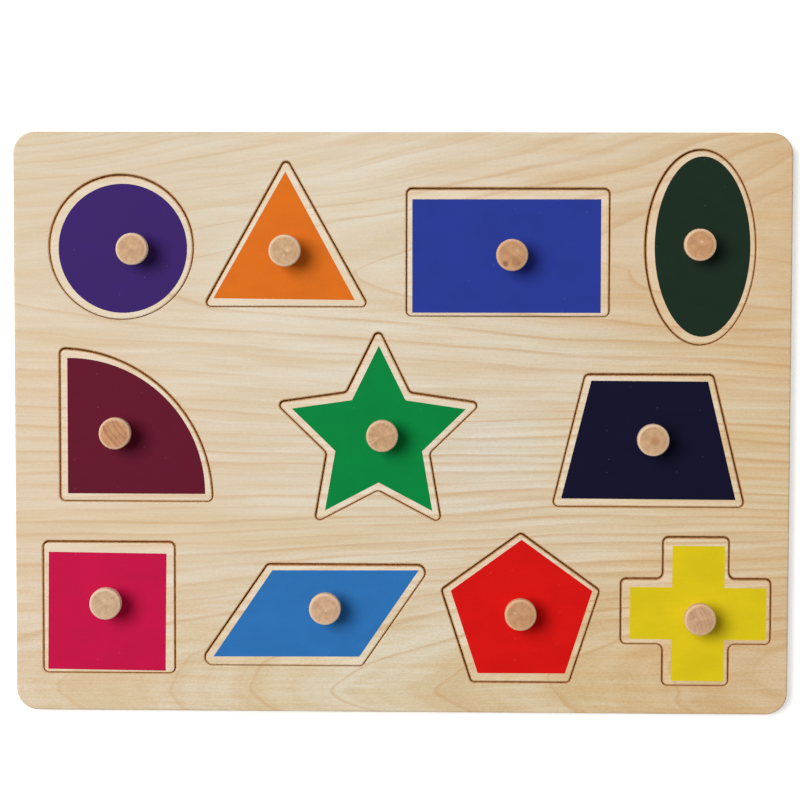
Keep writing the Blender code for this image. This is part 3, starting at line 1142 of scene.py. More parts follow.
class Profile:
    """A cross-section drawn from the top down with lines and arcs, to be carried along an outline.

    A point's first coordinate is its distance outwards from the outline, and its second its height.
    Each stretch between two points keeps the normals at its ends, so that an arc shades smoothly
    and meets a flat without a crease.
    """

    def __init__(self, out: float, height: float, char: float = 0.0) -> None:
        """Start at a point.

        Args:
            out: How far outwards it lies.
            height: Its height.
            char: How scorched it is.
        """
        self.points = [(out, height)]
        self.char = [char]
        self.normals: list[Stretch] = []
        self.surfaces: list[Surface] = []

    def line(self, out: float, height: float, surface: Surface = Surface.FACE,
             char: float = 0.0) -> "Profile":
        """Draw a straight line; its normal is its direction turned a quarter to the left.

        Args:
            out: Where it ends, outwards.
            height: Where it ends, in height.
            surface: What it shows.
            char: How scorched its end is.

        Returns:
            The profile itself.
        """
        run, rise = out - self.points[-1][0], height - self.points[-1][1]
        length = math.hypot(run, rise)
        normal = (-rise / length, run / length)
        self.points.append((out, height))
        self.char.append(char)
        self.normals.append((normal, normal))
        self.surfaces.append(surface)
        return self

    def arc(self, centre: Pair, radii: Pair, turns: Pair, steps: int, surface: Surface = Surface.FACE,
            char: float = 0.0) -> "Profile":
        """Draw an arc of an ellipse from its first turn to its last.

        The point at a turn t is the centre plus (radius out * cos t, radius up * sin t). Its normal is
        (cos t / radius out, sin t / radius up), and the reverse of it on a hollow arc, which runs
        anticlockwise.

        Args:
            centre: The ellipse's middle.
            radii: Its half width and half height.
            turns: Where the arc starts and ends, in degrees.
            steps: How many stretches it has.
            surface: What it shows.
            char: How scorched its end is.

        Returns:
            The profile itself.
        """
        circle = unit(np.radians(np.linspace(*turns, steps + 1)))
        normals = circle / radii
        normals *= math.copysign(1, turns[0] - turns[1]) / np.linalg.norm(normals, axis=1, keepdims=True)
        self.points += (np.array(centre) + circle * radii)[1:].tolist()
        self.char += np.linspace(self.char[-1], char, steps + 1)[1:].tolist()
        self.normals += np.stack((normals[:-1], normals[1:]), axis=1).tolist()
        self.surfaces += [surface] * steps
        return self


def contains(outline: FloatArray, points: FloatArray) -> np.ndarray:
    """Tell which points lie inside an outline, by how often a ray to +X crosses its sides.

    Args:
        outline: The outline's points.
        points: The points to test.

    Returns:
        True for each point inside.
    """
    x, y = points[:, :1], points[:, 1:]
    x1, y1 = outline.T
    x2, y2 = np.roll(outline, -1, axis=0).T
    level = np.where(y2 == y1, 1.0, y2 - y1)
    crossed = ((y1 > y) != (y2 > y)) & (x < x1 + (y - y1) * (x2 - x1) / level)
    return crossed.sum(axis=1) % 2 == 1


class Shell:
    """Gathers the points and faces of one piece as whole arrays, and makes its mesh."""

    # Blender's triangulation covers the whole hull when asked for kind 0, and joins points this near.
    WHOLE_HULL = 0
    SAME_POINT = 1e-9

    def __init__(self) -> None:
        """Start empty."""
        self._points: list[FloatArray] = []
        self._char: list[FloatArray] = []
        self._faces: list[IntArray] = []
        self._normals: list[FloatArray] = []
        self._surfaces: list[IntArray] = []
        self._count = 0

    def add_points(self, points: FloatArray, char: FloatArray) -> IntArray:
        """Add points.

        Args:
            points: Their places, as an array whose last axis is X, Y and Z.
            char: How scorched each is, in the same shape without that axis.

        Returns:
            Their numbers, in the same shape.
        """
        self._points.append(points.reshape(-1, 3))
        self._char.append(char.ravel())
        numbers = self._count + np.arange(char.size).reshape(char.shape)
        self._count += char.size
        return numbers

    def add_faces(self, faces: IntArray, normals: FloatArray, surfaces: IntArray, turned: bool) -> None:
        """Add faces of one corner count.

        Args:
            faces: The numbers of their points, as an array (faces, corners).
            normals: The normal at each corner, as an array (faces, corners, 3).
            surfaces: The surface of each face.
            turned: True where the corners run clockwise seen from outside, and are to be reversed.
        """
        step = -1 if turned else 1
        self._faces.append(faces[:, ::step])
        self._normals.append(normals[:, ::step])
        self._surfaces.append(surfaces)

    def _bands(self, rings: IntArray, outwards: FloatArray, profile: Profile, first: int,
               turned: bool) -> None:
        """Join each ring to the next with a band of quads.

        Args:
            rings: The numbers of the rings' points, as an array (rings, points).
            outwards: The level direction outwards at each point, as an array (points, 2).
            profile: The profile that the rings follow.
            first: The profile point of the first ring.
            turned: True for a hole.
        """
        bands = len(rings) - 1
        ends = np.array(profile.normals[first:first + bands])
        level = ends[:, :, None, :1] * outwards
        upright = np.broadcast_to(ends[:, :, None, 1:], (*level.shape[:3], 1))
        normals = np.concatenate((level, upright), axis=-1)
        after = np.roll(rings, -1, axis=1)
        normals_after = np.roll(normals, -1, axis=2)
        faces = np.stack((rings[:-1], rings[1:], after[1:], after[:-1]), axis=-1)
        corners = np.stack((normals[:, 0], normals[:, 1], normals_after[:, 1], normals_after[:, 0]), axis=2)
        surfaces = np.array([s.value for s in profile.surfaces[first:first + bands]])
        self.add_faces(faces.reshape(-1, 4), corners.reshape(-1, 4, 3),
                       np.repeat(surfaces, rings.shape[1]), turned)

    def _raise(self, level: FloatArray, heights: FloatArray, char: FloatArray) -> IntArray:
        """Add the points of level rings, each ring at its own height, and return their numbers."""
        upright = np.broadcast_to(heights[:, None, None], (*level.shape[:2], 1))
        return self.add_points(np.concatenate((level, upright), axis=-1), char)

    def carry(self, profile: Profile, outline: Outline, centre: FloatArray, edge: Edge,
              ease: FloatArray | float = 0.0,
              scorch_and_gap_shade: FloatArray | float = 1.0) -> tuple[IntArray, IntArray]:
        """Carry a profile along an outline.

        The point at profile point i and outline point j is the outline's point j moved outwards by
        the profile's distance i, at the profile's height i. In a hole, outwards is into the hole.

        Args:
            profile: The cross-section.
            outline: The path.
            centre: Where the outline's middle lies.
            edge: Whether the path bounds the wood or is a hole in it.
            ease: How far outwards of the outline the path lies, for each outline point or for all.
            scorch_and_gap_shade: The share of the profile's scorch, for each outline point or for all;
            round a tile it also holds painted shade, stronger where the gap is wide.

        Returns:
            The numbers of the first ring's points, and of the last one's.
        """
        sign = edge.value
        points = np.array(profile.points)
        normals = outline.normals()
        moved = np.broadcast_to(ease, len(normals))[:, None] * normals
        level = outline.rings(sign * points[:, 0]) + moved + centre
        char = np.array(profile.char)[:, None] * np.broadcast_to(scorch_and_gap_shade, level.shape[1])
        rings = self._raise(level, points[:, 1], char)
        self._bands(rings, sign * normals, profile, 0, edge is Edge.HOLE)
        return rings[0], rings[-1]

    def turn(self, profile: Profile, centre: FloatArray, steps: int) -> None:
        """Turn a profile about an upright axis, from a pole on the axis to another.

        The point at profile point i and turn t is the centre plus the profile's distance i times
        (cos t, sin t), at the profile's height i.

        Args:
            profile: The cross-section, whose first and last points lie on the axis.
            centre: Where the axis stands.
            steps: How many stretches a turn has.
        """
        outwards = unit(math.tau * np.arange(steps) / steps)
        points = np.array(profile.points)
        between = points[1:-1]
        level = between[:, None, :1] * outwards + centre
        rings = self._raise(level, between[:, 1], np.zeros(level.shape[:2]))
        self._bands(rings, outwards, profile, 1, False)
        for pole, ring, facing in ((0, rings[0], Facing.UP), (-1, rings[-1], Facing.DOWN)):
            tip = self.add_points(np.array([(*centre, points[pole, 1])]), np.zeros(1))
            faces = np.stack((np.broadcast_to(tip, steps), ring, np.roll(ring, -1)), axis=1)
            normals = np.broadcast_to((0.0, 0.0, facing.value), (steps, 3, 3))
            surfaces = np.full(steps, profile.surfaces[pole].value)
            self.add_faces(faces, normals, surfaces, facing is Facing.DOWN)

    def fill(self, rim: IntArray, holes: Sequence[IntArray], facing: Facing, surface: Surface,
             inlay: FloatArray | None = None) -> None:
        """Fill the flat face between a rim and its holes with triangles.

        Args:
            rim: The numbers of the rim's points.
            holes: The numbers of each hole's points.
            facing: Which way the face looks.
            surface: What it shows.
            inlay: The outline of a printed area in it, if there is one.
        """
        loops = [rim, *holes]
        known = np.concatenate(self._points)
        if inlay is not None:
            height = np.full((len(inlay), 1), known[rim[0], 2])
            loops.append(self.add_points(np.hstack((inlay, height)), np.zeros(len(inlay))))
            known = np.concatenate(self._points)
        numbers = np.concatenate(loops)
        starts = np.cumsum([0, *(len(loop) for loop in loops)])
        chains = [start + np.arange(len(loop)) for start, loop in zip(starts, loops)]
        sides = np.vstack([np.stack((chain, np.roll(chain, -1)), axis=1) for chain in chains])
        level = known[numbers, :2]
        filled = delaunay_2d_cdt(level.tolist(), sides.tolist(), [], self.WHOLE_HULL, self.SAME_POINT)
        origin = np.fromiter(map(itemgetter(0), filled[3]), int)
        faces = origin[np.array(filled[2])]
        middles = level[faces].mean(axis=1)
        kept = contains(known[rim, :2], middles)
        for hole in holes:
            kept &= ~contains(known[hole, :2], middles)
        faces, middles = faces[kept], middles[kept]
        surfaces = np.full(len(faces), surface.value)
        if inlay is not None:
            surfaces[contains(inlay, middles)] = Surface.PRINT.value
        one, two, three = level[faces].transpose(1, 0, 2)
        area = np.cross(two - one, three - one)
        faces = np.where((area < 0)[:, None], faces[:, ::-1], faces)
        normals = np.broadcast_to((0.0, 0.0, facing.value), (len(faces), 3, 3))
        self.add_faces(numbers[faces], normals, surfaces, facing is Facing.DOWN)

    def mesh(self, name: str, order: Sequence[Surface]) -> bpy.types.Mesh:
        """Make the mesh.

        Args:
            name: Its name.
            order: The surfaces, in the order of the material slots.

        Returns:
            The mesh, smooth, with its own normals and the attribute "char".
        """
        mesh = bpy.data.meshes.new(name)
        faces = [face for array in self._faces for face in array.tolist()]
        mesh.from_pydata(np.concatenate(self._points), [], faces)
        slots = np.zeros(len(Surface), int)
        slots[[surface.value for surface in order]] = np.arange(len(order))
        mesh.polygons.foreach_set("material_index", slots[np.concatenate(self._surfaces)])
        mesh.polygons.foreach_set("use_smooth", np.ones(len(faces), bool))
        char = mesh.attributes.new("char", "FLOAT", "POINT")
        char.data.foreach_set("value", np.concatenate(self._char).astype(np.float32))
        normals = np.concatenate([array.reshape(-1, 3) for array in self._normals])
        mesh.normals_split_custom_set(normals.tolist())
        return mesh


def add_object(name: str, data: bpy.types.ID) -> bpy.types.Object:
    """Put a new object into the scene.

    Args:
        name: Its name.
        data: Its mesh, light or camera.

    Returns:
        The object.
    """
    added = bpy.data.objects.new(name, data)
    bpy.context.scene.collection.objects.link(added)
    return added


class Piece(ABC):
    """A piece of the object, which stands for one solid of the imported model.

    name is the piece's own, node the solid's, body that of the body on which it rides, and slot the
    record's material slot for it.
    """

    name: str
    node: str
    body: str
    slot: str

    @abstractmethod
    def build(self) -> Shell:
        """Work out the piece's surfaces."""

    @abstractmethod
    def finishes(self) -> Mapping[Surface, Finish]:
        """Return the finish of each of its surfaces."""

    def box(self) -> tuple[FloatArray, FloatArray]:
        """Return the lowest and highest corner of the solid."""
        low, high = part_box(self.node)
        return np.array(low), np.array(high)

    def place(self) -> FloatArray:
        """Return where the middle of the solid's box lies, seen from above."""
        low, high = self.box()
        return (low[:2] + high[:2]) / 2

    def make(self) -> bpy.types.Object:
        """Build and dress the piece, and let it ride on its body in the solid's stead.

        Returns:
            The piece's object, which sits at the origin.
        """
        finishes = self.finishes()
        mesh = self.build().mesh(self.name, list(finishes))
        piece = add_object(self.name, mesh)
        for finish in finishes.values():
            mesh.materials.append(finish.material())
        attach(piece, self.body)
        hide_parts(self.node)
        LOG.info("%s: %d faces, rides on %s", self.name, len(mesh.polygons), self.body)
        return piece


@dataclass(frozen=True)
class Printing:
    """Where a tile's ink lies: its margin from the tile's edge, and how far it is shifted and turned."""

    margin: float
    shift: Pair = (0.0, 0.0)
    turn: float = 0.0

    def area(self, outline: Outline, place: FloatArray) -> FloatArray:
        """Work out the printed area.

        Args:
            outline: The tile's outline.
            place: Where the outline's middle lies.

        Returns:
            The printed area's outline.
        """
        turn = math.radians(self.turn)
        turned = np.array(((math.cos(turn), math.sin(turn)), (-math.sin(turn), math.cos(turn))))
        return outline.inside(self.margin) @ turned + place + self.shift


@dataclass(frozen=True)
class ShapePiece(Piece):
    """A piece of one of the loose shapes, which rides on that shape's body."""

    shape: str

    kind = "piece"

    @property
    def name(self) -> str:
        """Return the piece's name."""
        return f"{self.shape}_{self.kind}"

    @property
    def node(self) -> str:
        """Return the name of the solid that it stands for."""
        return f"{self.kind}_{self.shape}"

    @property
    def body(self) -> str:
        """Return the name of the body that it rides on."""
        return f"{self.shape}_piece"


@dataclass(frozen=True)
class Tile(ShapePiece):
    """A loose tile: printed veneer above, bare veneer below, and a cut wall round it.

    leans is the direction, in degrees from +X, in which the tile lies in the play of its cut-out. The
    scorch of both edges of the gap is painted fainter on that side and stronger across from it, as
    painted shade of the gap where it is wide; gap_shade_fading is the share of the scorch that is gone
    on the leaning side. The finished edges of tile and cut-out each stand a little nearer to each other
    than the solids'.
    """

    outline: Outline
    leans: float
    printing: Printing
    ink: Colour
    gap_shade_fading: float = 0.5
    arris: float = 0.0007
    lower_arris: float = 0.00012
    tan_width: float = 0.00102
    hole_diameter: float = 0.0066
    lift: float = 0.00005

    kind = "tile"
    CLEARANCE = 0.0006
    LEAST_GAP = 0.0003
    SNUGNESS = 0.00003
    EXTRA = 0.00018
    # How scorched the edge is where its ring of tan starts, and then at the end of each stretch.
    RING_CHAR = 0.04
    ARRIS_CHAR = 0.9
    WALL_CHAR = 0.3
    LOWER_CHAR = 0.5
    BACK_CHAR = 0.1

    @property
    def slot(self) -> str:
        """Return the record's material slot for it."""
        return self.node

    def middle(self) -> FloatArray:
        """Return where the outline's middle lies."""
        return self.place() - self.outline.middle()

    def lean(self) -> FloatArray:
        """Return the direction in which the tile leans, as a point one unit away."""
        turn = math.radians(self.leans)
        return np.array((math.cos(turn), math.sin(turn)))

    def cutout(self) -> FloatArray:
        """Return where the middle of the tile's cut-out lies."""
        return self.middle() - (self.CLEARANCE - self.LEAST_GAP) * self.lean()

    def closed(self) -> FloatArray:
        """Return 1 at the outline points where the tile leans on its cut-out, and 0 across from them."""
        return 0.5 + 0.5 * self.outline.normals() @ self.lean()

    def growth(self) -> FloatArray:
        """Return how far the finished edge stands outside the solid's, most on the open side."""
        return self.SNUGNESS + self.EXTRA * (1.0 - self.closed())

    def scorch_and_gap_shade(self) -> FloatArray:
        """Return the share of the scorch at each outline point, least where the tile leans.

        The change round the tile is painted shade of the gap, darker where the gap is wide.
        """
        # Painted shade: the scorch fades on the side where the tile leans and the gap is narrow, and stays
        # where it is wide.
        return 1.0 - self.gap_shade_fading * self.closed()

    def build(self) -> Shell:
        """Run the edge round the tile and its hole, then fill the upper and lower face.

        Returns:
            The tile's surfaces.
        """
        low, high = self.box()
        top = high[2]
        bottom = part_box("backing_board")[1].z + self.lift
        soft, sharp = self.arris, self.lower_arris
        edge = Profile(-self.tan_width, top)
        edge.line(-soft, top, Surface.FACE, self.RING_CHAR)
        edge.arc((-soft, top - soft), (soft, soft), (90, 0), 7, Surface.FACE, self.ARRIS_CHAR)
        edge.line(0, bottom + sharp, Surface.CUT, self.WALL_CHAR)
        edge.arc((-sharp, bottom + sharp), (sharp, sharp), (0, -90), 2, Surface.CUT, self.LOWER_CHAR)
        edge.line(-0.5 * self.tan_width, bottom, Surface.BACK, self.BACK_CHAR)
        bore = Profile(0, top).line(0, bottom, Surface.BACK)
        circle = Ellipse(self.hole_diameter, self.hole_diameter, 48)
        shell = Shell()
        upper_rim, lower_rim = shell.carry(edge, self.outline, self.middle(), Edge.RIM, self.growth(),
                                           self.scorch_and_gap_shade())
        upper_hole, lower_hole = shell.carry(bore, circle, Peg(self.shape).place(), Edge.HOLE)
        printed = self.printing.area(self.outline, self.middle())
        shell.fill(upper_rim, [upper_hole], Facing.UP, Surface.FACE, printed)
        shell.fill(lower_rim, [lower_hole], Facing.DOWN, Surface.BACK)
        return shell

    def finishes(self) -> Mapping[Surface, Finish]:
        """Return the finish of each of its surfaces."""
        return {Surface.FACE: TILE_FACE, Surface.PRINT: PrintedInk(f"{self.shape} ink", self.ink),
                Surface.CUT: CutWall("cut wall"), Surface.BACK: TILE_BACK}


@dataclass(frozen=True)
class Peg(ShapePiece):
    """A turned peg: a flat head with a rounded rim, a hollow neck, a foot and a tenon.

    The waist's height and the foot's lift are measured from the tile's top.
    """

    end: Colour = srgb(206, 171, 134)
    rim: Colour = srgb(226, 196, 166)
    dark: Colour = srgb(180, 136, 98)
    pith: Pair = (18.0, 9.0)
    ring_width: float = 1.1
    rings: float = 0.35
    rays: float = 0.1
    knots: tuple[Knot, ...] = ()
    dome: float = 0.0001
    head_radius: float = 0.0061
    head_depth: float = 0.0045
    rim_rounding: float = 0.0011
    lower_rounding: float = 0.00035
    waist_radius: float = 0.0039
    waist_height: float = 0.0032
    foot_radius: float = 0.0045
    foot_lift: float = 0.00003
    tenon_radius: float = 0.00325
    steps: int = 72

    kind = "peg"
    slot = "peg_wood"

    def profile(self) -> Profile:
        """Draw the peg's half outline from the middle of its head to the middle of its tenon's end.

        The head is a shallow bow, whose fall is the dome's height times the square of the share of the
        way to the rim.

        Returns:
            The profile.
        """
        low, high = self.box()
        top = high[2]
        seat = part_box(f"tile_{self.shape}")[1].z
        flat = self.head_radius - self.rim_rounding
        brow = top - self.dome
        under = top - self.head_depth
        waist = seat + self.waist_height
        foot = seat + self.foot_lift
        lip = self.head_radius - self.lower_rounding
        half = Profile(0, top)
        half.line(0.3 * flat, top - 0.09 * self.dome)
        half.line(0.7 * flat, top - 0.49 * self.dome)
        half.line(flat, brow)
        half.arc((flat, brow - self.rim_rounding), (self.rim_rounding,) * 2, (90, 0), 10)
        half.line(self.head_radius, under + self.lower_rounding)
        half.arc((lip, under + self.lower_rounding), (self.lower_rounding,) * 2, (0, -90), 4)
        half.arc((lip, waist), (lip - self.waist_radius, under - waist), (90, 180), 12)
        flare = self.foot_radius - self.waist_radius
        half.arc((self.foot_radius, waist), (flare, waist - foot), (180, 270), 8)
        half.line(self.tenon_radius, foot)
        half.line(self.tenon_radius, low[2])
        return half.line(0, low[2])

    def build(self) -> Shell:
        """Turn the half outline about the peg's axis.

        Returns:
            The peg's surfaces.
        """
        shell = Shell()
        shell.turn(self.profile(), self.place(), self.steps)
        return shell

    def finishes(self) -> Mapping[Surface, Finish]:
        """Finish the whole peg in one wood, whose pattern is centred on its head.

        Returns:
            The finish of its one surface.
        """
        centre = (*self.place().tolist(), float(self.box()[1][2]))
        wood = TurnedWood(f"{self.shape} peg wood", centre, self.end, self.rim, self.dark, self.pith,
                          self.ring_width, self.rings, self.rays, self.knots)
        return {Surface.FACE: wood}


@dataclass(frozen=True)
class BoardSheet(Piece):
    """One of the board's two sheets; they share their outline and ride on the board's body."""

    corner_radius: float = 0.0085
    arris: float = 0.0008
    lower_arris: float = 0.0005
    glue_line: float = 0.00003

    body = "board"

    def outline(self) -> Polygon:
        """Return the board's outline, worked out from the solid's box."""
        low, high = self.box()
        return rectangle(*(high - low)[:2], self.corner_radius)


@dataclass(frozen=True)
class FrameSheet(BoardSheet):
    """The upper sheet, with a cut-out for each tile."""

    tiles: tuple[Tile, ...] = ()
    cut_arris: float = 0.00065
    tan_width: float = 0.0013

    name = "frame_sheet"
    node = "frame_board"
    slot = "frame_ply"
    # How scorched a cut-out's edge is where its ring of tan starts, and at its arris.
    RING_CHAR = 0.06
    ARRIS_CHAR = 0.85

    def build(self) -> Shell:
        """Run the outer edge and the cut-outs' edges, then fill the upper and lower face.

        Returns:
            The sheet's surfaces.
        """
        top = self.box()[1][2]
        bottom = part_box("backing_board")[1].z + self.glue_line
        soft = self.arris
        edge = Profile(-2 * soft, top)
        edge.line(-soft, top)
        edge.arc((-soft, top - soft), (soft, soft), (90, 0), 8)
        edge.line(0, bottom, Surface.EDGE)
        soft = self.cut_arris
        cut = Profile(-self.tan_width, top)
        cut.line(-soft, top, Surface.FACE, self.RING_CHAR)
        cut.arc((-soft, top - soft), (soft, soft), (90, 0), 7, Surface.FACE, self.ARRIS_CHAR)
        cut.line(0, bottom, Surface.CUT, Tile.WALL_CHAR)
        shell = Shell()
        upper_rim, lower_rim = shell.carry(edge, self.outline(), self.place(), Edge.RIM)
        # The cut-outs' scorch carries the tiles' painted gap shade as well.
        holes = [shell.carry(cut, tile.outline, tile.cutout(), Edge.HOLE, tile.CLEARANCE - tile.growth(),
                             tile.scorch_and_gap_shade()) for tile in self.tiles]
        upper_holes, lower_holes = zip(*holes)
        shell.fill(upper_rim, upper_holes, Facing.UP, Surface.FACE)
        shell.fill(lower_rim, lower_holes, Facing.DOWN, Surface.BACK)
        return shell

    def finishes(self) -> Mapping[Surface, Finish]:
        """Return the finish of each of its surfaces."""
        return {Surface.FACE: BOARD_FACE, Surface.CUT: CutWall("cut wall"),
                Surface.EDGE: PlyEdge("frame plies", 0.0027, 0.00106), Surface.BACK: TILE_BACK}


@dataclass(frozen=True)
class BackingSheet(BoardSheet):
    """The lower sheet, whose upper face is the floor of the cut-outs."""

    name = "backing_sheet"
    node = "backing_board"
    slot = "backing_ply"

    def build(self) -> Shell:
        """Run the outer edge, then fill the upper and lower face.

        Returns:
            The sheet's surfaces.
        """
        low, high = self.box()
        bottom, top = low[2], high[2]
        soft = self.lower_arris
        edge = Profile(0, top).line(0, bottom + soft, Surface.EDGE)
        edge.arc((-soft, bottom + soft), (soft, soft), (0, -90), 6, Surface.EDGE)
        edge.line(-3 * soft, bottom, Surface.BACK)
        shell = Shell()
        upper_rim, lower_rim = shell.carry(edge, self.outline(), self.place(), Edge.RIM)
        shell.fill(upper_rim, [], Facing.UP, Surface.FACE)
        shell.fill(lower_rim, [], Facing.DOWN, Surface.BACK)
        return shell

    def finishes(self) -> Mapping[Surface, Finish]:
        """Return the finish of each of its surfaces."""
        return {Surface.FACE: RECESS_FLOOR, Surface.EDGE: PlyEdge("backing plies", 0.0, 0.0009),
                Surface.BACK: BOARD_BACK}


PATCHES = (Patch((15.0, -104.0), (190.0, 56.0), (0.965, 0.945, 0.87, 1.0)),
           Patch((76.0, -90.0), (60.0, 45.0), (0.995, 0.95, 0.86, 1.0)),
           Patch((-60.0, -41.0), (150.0, 11.0), (0.98, 0.955, 0.885, 1.0)),
           Patch((112.0, -22.0), (90.0, 75.0), (1.035, 1.14, 1.24, 1.0)),
           Patch((36.0, -14.0), (32.0, 34.0), (1.0, 1.07, 1.17, 1.0)),
           Patch((66.0, 34.0), (62.0, 14.0), (0.995, 1.045, 1.09, 1.0)),
           Patch((100.0, 104.0), (56.0, 24.0), (1.02, 1.09, 1.17, 1.0)),
           Patch((-115.0, 95.0), (90.0, 80.0), (0.96, 0.985, 1.0, 1.0)))
BOARD_FACE = Veneer("board face", patches=PATCHES)
TILE_FACE = Veneer("tile face", srgb(226, 207, 180), srgb(227, 213, 190), srgb(222, 193, 155),
                   patches=PATCHES)
TILE_BACK = Veneer("tile back", srgb(216, 192, 158), srgb(214, 190, 156), srgb(208, 180, 144),
                   shift=(0.043, -0.117, 0.0))
RECESS_FLOOR = Veneer("recess floor", srgb(212, 188, 152), srgb(210, 186, 150), srgb(205, 178, 140),
                      shift=(-0.061, 0.092, 0.0), roughness=(0.6, 0.7))
BOARD_BACK = Veneer("board back", srgb(217, 194, 160), srgb(215, 192, 158), srgb(211, 184, 148),
                    shift=(0.027, 0.058, 0.0), roughness=(0.55, 0.66))

# Where a tile's scorch fades on its leaning side, that fading is painted shade of the gap.
TILES = (
    Tile("circle", Ellipse(0.0551, 0.0551), -85, Printing(0.00266, (0.00059, -0.00028)), srgb(58, 34, 104),
         gap_shade_fading=0.9),
    Tile("triangle", triangle(0.0630, 0.0566), -80, Printing(0.00244, (-0.00058, 0.00032), -0.58),
         srgb(216, 109, 26), gap_shade_fading=0.7),
    Tile("rectangle", rectangle(0.0774, 0.0485), -95, Printing(0.00243, (-0.00055, -0.00118), 0.1),
         srgb(40, 57, 147), gap_shade_fading=0.9),
    Tile("oval", Ellipse(0.0417, 0.0742), -45, Printing(0.00253, (0.0006, 0.00045)), srgb(28, 45, 33)),
    Tile("quarter_circle", QuarterCircle(0.0587, CORNER_ROUNDING), -80,
         Printing(0.0029, (-0.00029, -0.000115)), srgb(98, 19, 42), gap_shade_fading=0.6),
    Tile("star", star(0.0414, 0.02065), -80, Printing(0.00265, (0.00019, -0.000165)), srgb(2, 129, 60)),
    Tile("trapezoid", trapezoid(0.0736, 0.0488, 0.0507), -110, Printing(0.00248, (0.00009, 0.00039), -0.25),
         srgb(17, 16, 42)),
    Tile("square", rectangle(0.0507, 0.0507), -95, Printing(0.00237, (-0.00076, -0.00146), -0.6),
         srgb(193, 16, 68), gap_shade_fading=0.35, arris=0.00045, tan_width=0.00055),
    Tile("parallelogram", parallelogram(0.0633, 0.0268, 0.0391), -95,
         Printing(0.00264, (0.00038, 0.00079), 0.29), srgb(44, 111, 177), gap_shade_fading=0.85),
    Tile("pentagon", pentagon(0.0319), -80, Printing(0.00247, (0.00035, 0.000865), 0.14), srgb(211, 17, 14),
         gap_shade_fading=0.0),
    Tile("cross", cross(0.0573, 0.0249), -90, Printing(0.00231, (0.000925, -0.00066), -0.3),
         srgb(217, 193, 23)),
)

PALE_SPOT = srgb(232, 202, 164)

PEGS = (
    Peg("circle", srgb(200, 162, 124), pith=(-26.0, 14.0), rings=0.2),
    Peg("triangle", srgb(202, 166, 126), pith=(1.5, 0.5), rays=0.2,
        knots=(Knot((1.2, 0.1), 0.8, PALE_SPOT, 0.6), Knot((-0.3, -1.9), 0.7, PALE_SPOT, 0.6))),
    Peg("rectangle", srgb(194, 145, 103), srgb(216, 172, 140), pith=(-9.0, -14.0), rings=0.4,
        knots=(Knot((-2.6, -3.3), 1.7), Knot((1.5, -2.8), 2.6, share=0.4), Knot((2.6, -3.2), 1.0, share=0.5),
               Knot((1.9, 1.7), 0.7, PALE_SPOT, 0.4))),
    Peg("oval", srgb(197, 148, 104), srgb(226, 192, 156), pith=(0.5, 2.0),
        knots=(Knot((0.5, 1.2), 0.9, PALE_SPOT, 0.6),)),
    Peg("quarter_circle", srgb(202, 148, 107), srgb(224, 186, 154), srgb(156, 104, 70), pith=(16.0, 12.0),
        ring_width=1.3, rings=0.85),
    Peg("star", srgb(200, 162, 122), srgb(218, 186, 154), srgb(168, 120, 86), pith=(0.0, 0.3), rings=0.15,
        rays=0.8, knots=(Knot((0.2, 0.2), 0.8, srgb(176, 128, 92), 0.5),)),
    Peg("trapezoid", srgb(200, 162, 122), pith=(0.5, -0.5),
        knots=(Knot((0.6, 0.0), 2.8, srgb(176, 126, 86), 0.8),)),
    Peg("square", srgb(202, 169, 135), srgb(230, 196, 168), pith=(12.0, -20.0), rings=0.25,
        knots=(Knot((0.0, 1.5), 0.8, PALE_SPOT, 0.5), Knot((1.5, -2.1), 0.7, PALE_SPOT, 0.4))),
    Peg("parallelogram", srgb(203, 165, 132), pith=(0.2, -2.4), rings=0.3,
        knots=(Knot((0.5, -0.5), 0.8, PALE_SPOT, 0.6),)),
    Peg("pentagon", srgb(194, 145, 103), srgb(222, 176, 136), pith=(0.4, 1.5), rings=0.3,
        knots=(Knot((-2.2, 0.8), 0.8, PALE_SPOT, 0.5),)),
    Peg("cross", srgb(203, 162, 125), srgb(224, 188, 146), srgb(172, 130, 102), pith=(-20.0, -8.0), rings=0.5,
        knots=(Knot((-1.7, 0.3), 0.8, PALE_SPOT, 0.5),)),
)


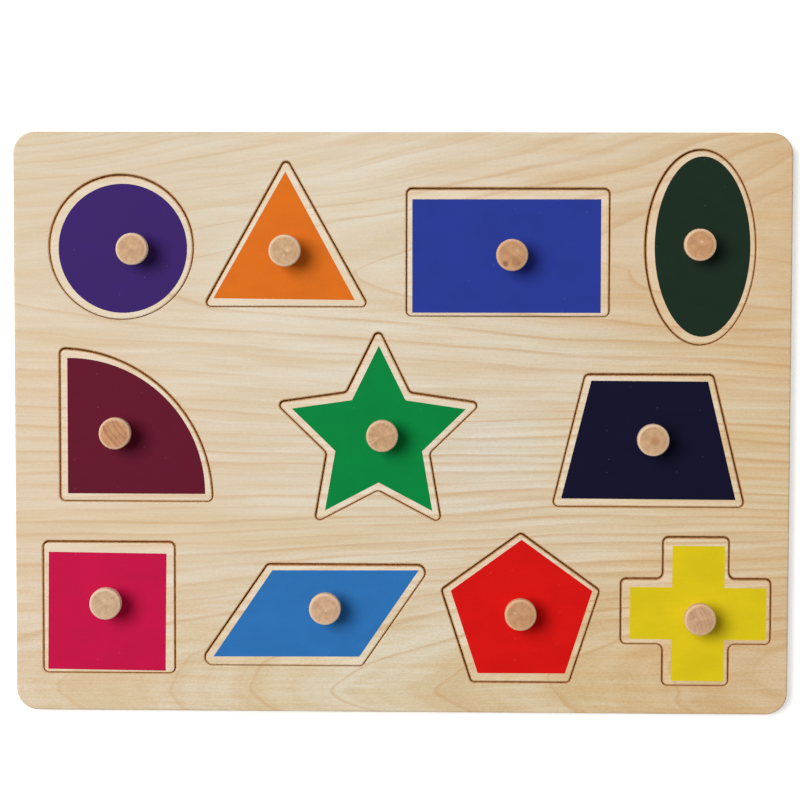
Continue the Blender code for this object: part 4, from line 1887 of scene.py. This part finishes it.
@dataclass(frozen=True)
class Studio:
    """The camera at the photograph's place, a soft key light from the upper left, fill and a pale floor."""

    camera_place: Point = (0.0273, 0.0769, 1.0358)
    aim: Point = (-0.00045, 0.00935, 0.008)
    roll: float = 0.13
    lens: float = 120.0
    sensor: float = 36.0
    key_distance: float = 3.5
    key_size: float = 1.75
    key_power: float = 112.0
    key_lean: float = 27.0
    key_bearing: float = 150.0
    fill_level: float = 0.44
    fill_overhead: float = 0.17
    floor_half: float = 4.0
    floor_drop: float = 0.0002

    def build_camera(self) -> None:
        """Aim the camera, and turn it about its line of sight by the roll."""
        data = bpy.data.cameras.new("camera")
        data.lens = self.lens
        data.sensor_width = self.sensor
        camera = add_object("camera", data)
        back = (Vector(self.camera_place) - Vector(self.aim)).normalized()
        right = Vector((0.0, 1.0, 0.0)).cross(back).normalized()
        level = Matrix((right, back.cross(right), back)).transposed()
        turned = level @ Matrix.Rotation(math.radians(self.roll), 3, "Z")
        camera.matrix_world = Matrix.Translation(self.camera_place) @ turned.to_4x4()
        bpy.context.scene.camera = camera

    def build_key(self) -> None:
        """Hang the square key light, aimed at the board's middle."""
        light = bpy.data.lights.new("key", "AREA")
        light.shape = "SQUARE"
        light.size = self.key_size
        light.energy = self.key_power
        key = add_object("key", light)
        lean, bearing = math.radians(self.key_lean), math.radians(self.key_bearing)
        level = math.sin(lean)
        toward = Vector((level * math.cos(bearing), level * math.sin(bearing), math.cos(lean)))
        key.location = toward * self.key_distance
        key.rotation_euler = toward.to_track_quat("Z", "Y").to_euler()

    def build_world(self) -> None:
        """Fill from all sides, more from the horizon than from overhead, and show white to the camera."""
        world = bpy.data.worlds.new("studio")
        world.use_nodes = True
        graph = Graph(world.node_tree)
        _, _, height = graph.split(graph.wire("ShaderNodeTexCoord", "Generated", {}))
        share = graph.math(Calc.MAXIMUM, height, 0.0)
        fill = share * (self.fill_overhead - self.fill_level) + self.fill_level
        seen = graph.wire("ShaderNodeLightPath", "Is Camera Ray", {})
        strength = graph.math(Calc.MAXIMUM, fill * (1.0 - seen), seen)
        graph.feed(world.node_tree.nodes["Background"], {"Color": WHITE, "Strength": strength})
        bpy.context.scene.world = world

    def build_floor(self) -> None:
        """Lay the floor just under the board."""
        side = 2 * self.floor_half
        corners = rectangle(side, side).corners
        mesh = bpy.data.meshes.new("floor")
        mesh.from_pydata(np.hstack((corners, np.full((4, 1), -self.floor_drop))), [], [(0, 1, 2, 3)])
        mesh.materials.append(PaleFloor("pale floor").material())
        floor = add_object("floor", mesh)

    def build(self) -> None:
        """Set up the whole studio and a plain view transform."""
        bpy.context.scene.view_settings.view_transform = "Standard"
        self.build_camera()
        self.build_key()
        self.build_world()
        self.build_floor()
        LOG.info("studio: camera, key light, fill and floor")


def main() -> None:
    """Build the board, the tiles and the pegs, then the studio."""
    logging.basicConfig(level=logging.INFO, format="%(name)s: %(message)s")
    FrameSheet(tiles=TILES).make()
    BackingSheet().make()
    for piece in (*TILES, *PEGS):
        piece.make()
    Studio().build()


if __name__ == "__main__":
    main()
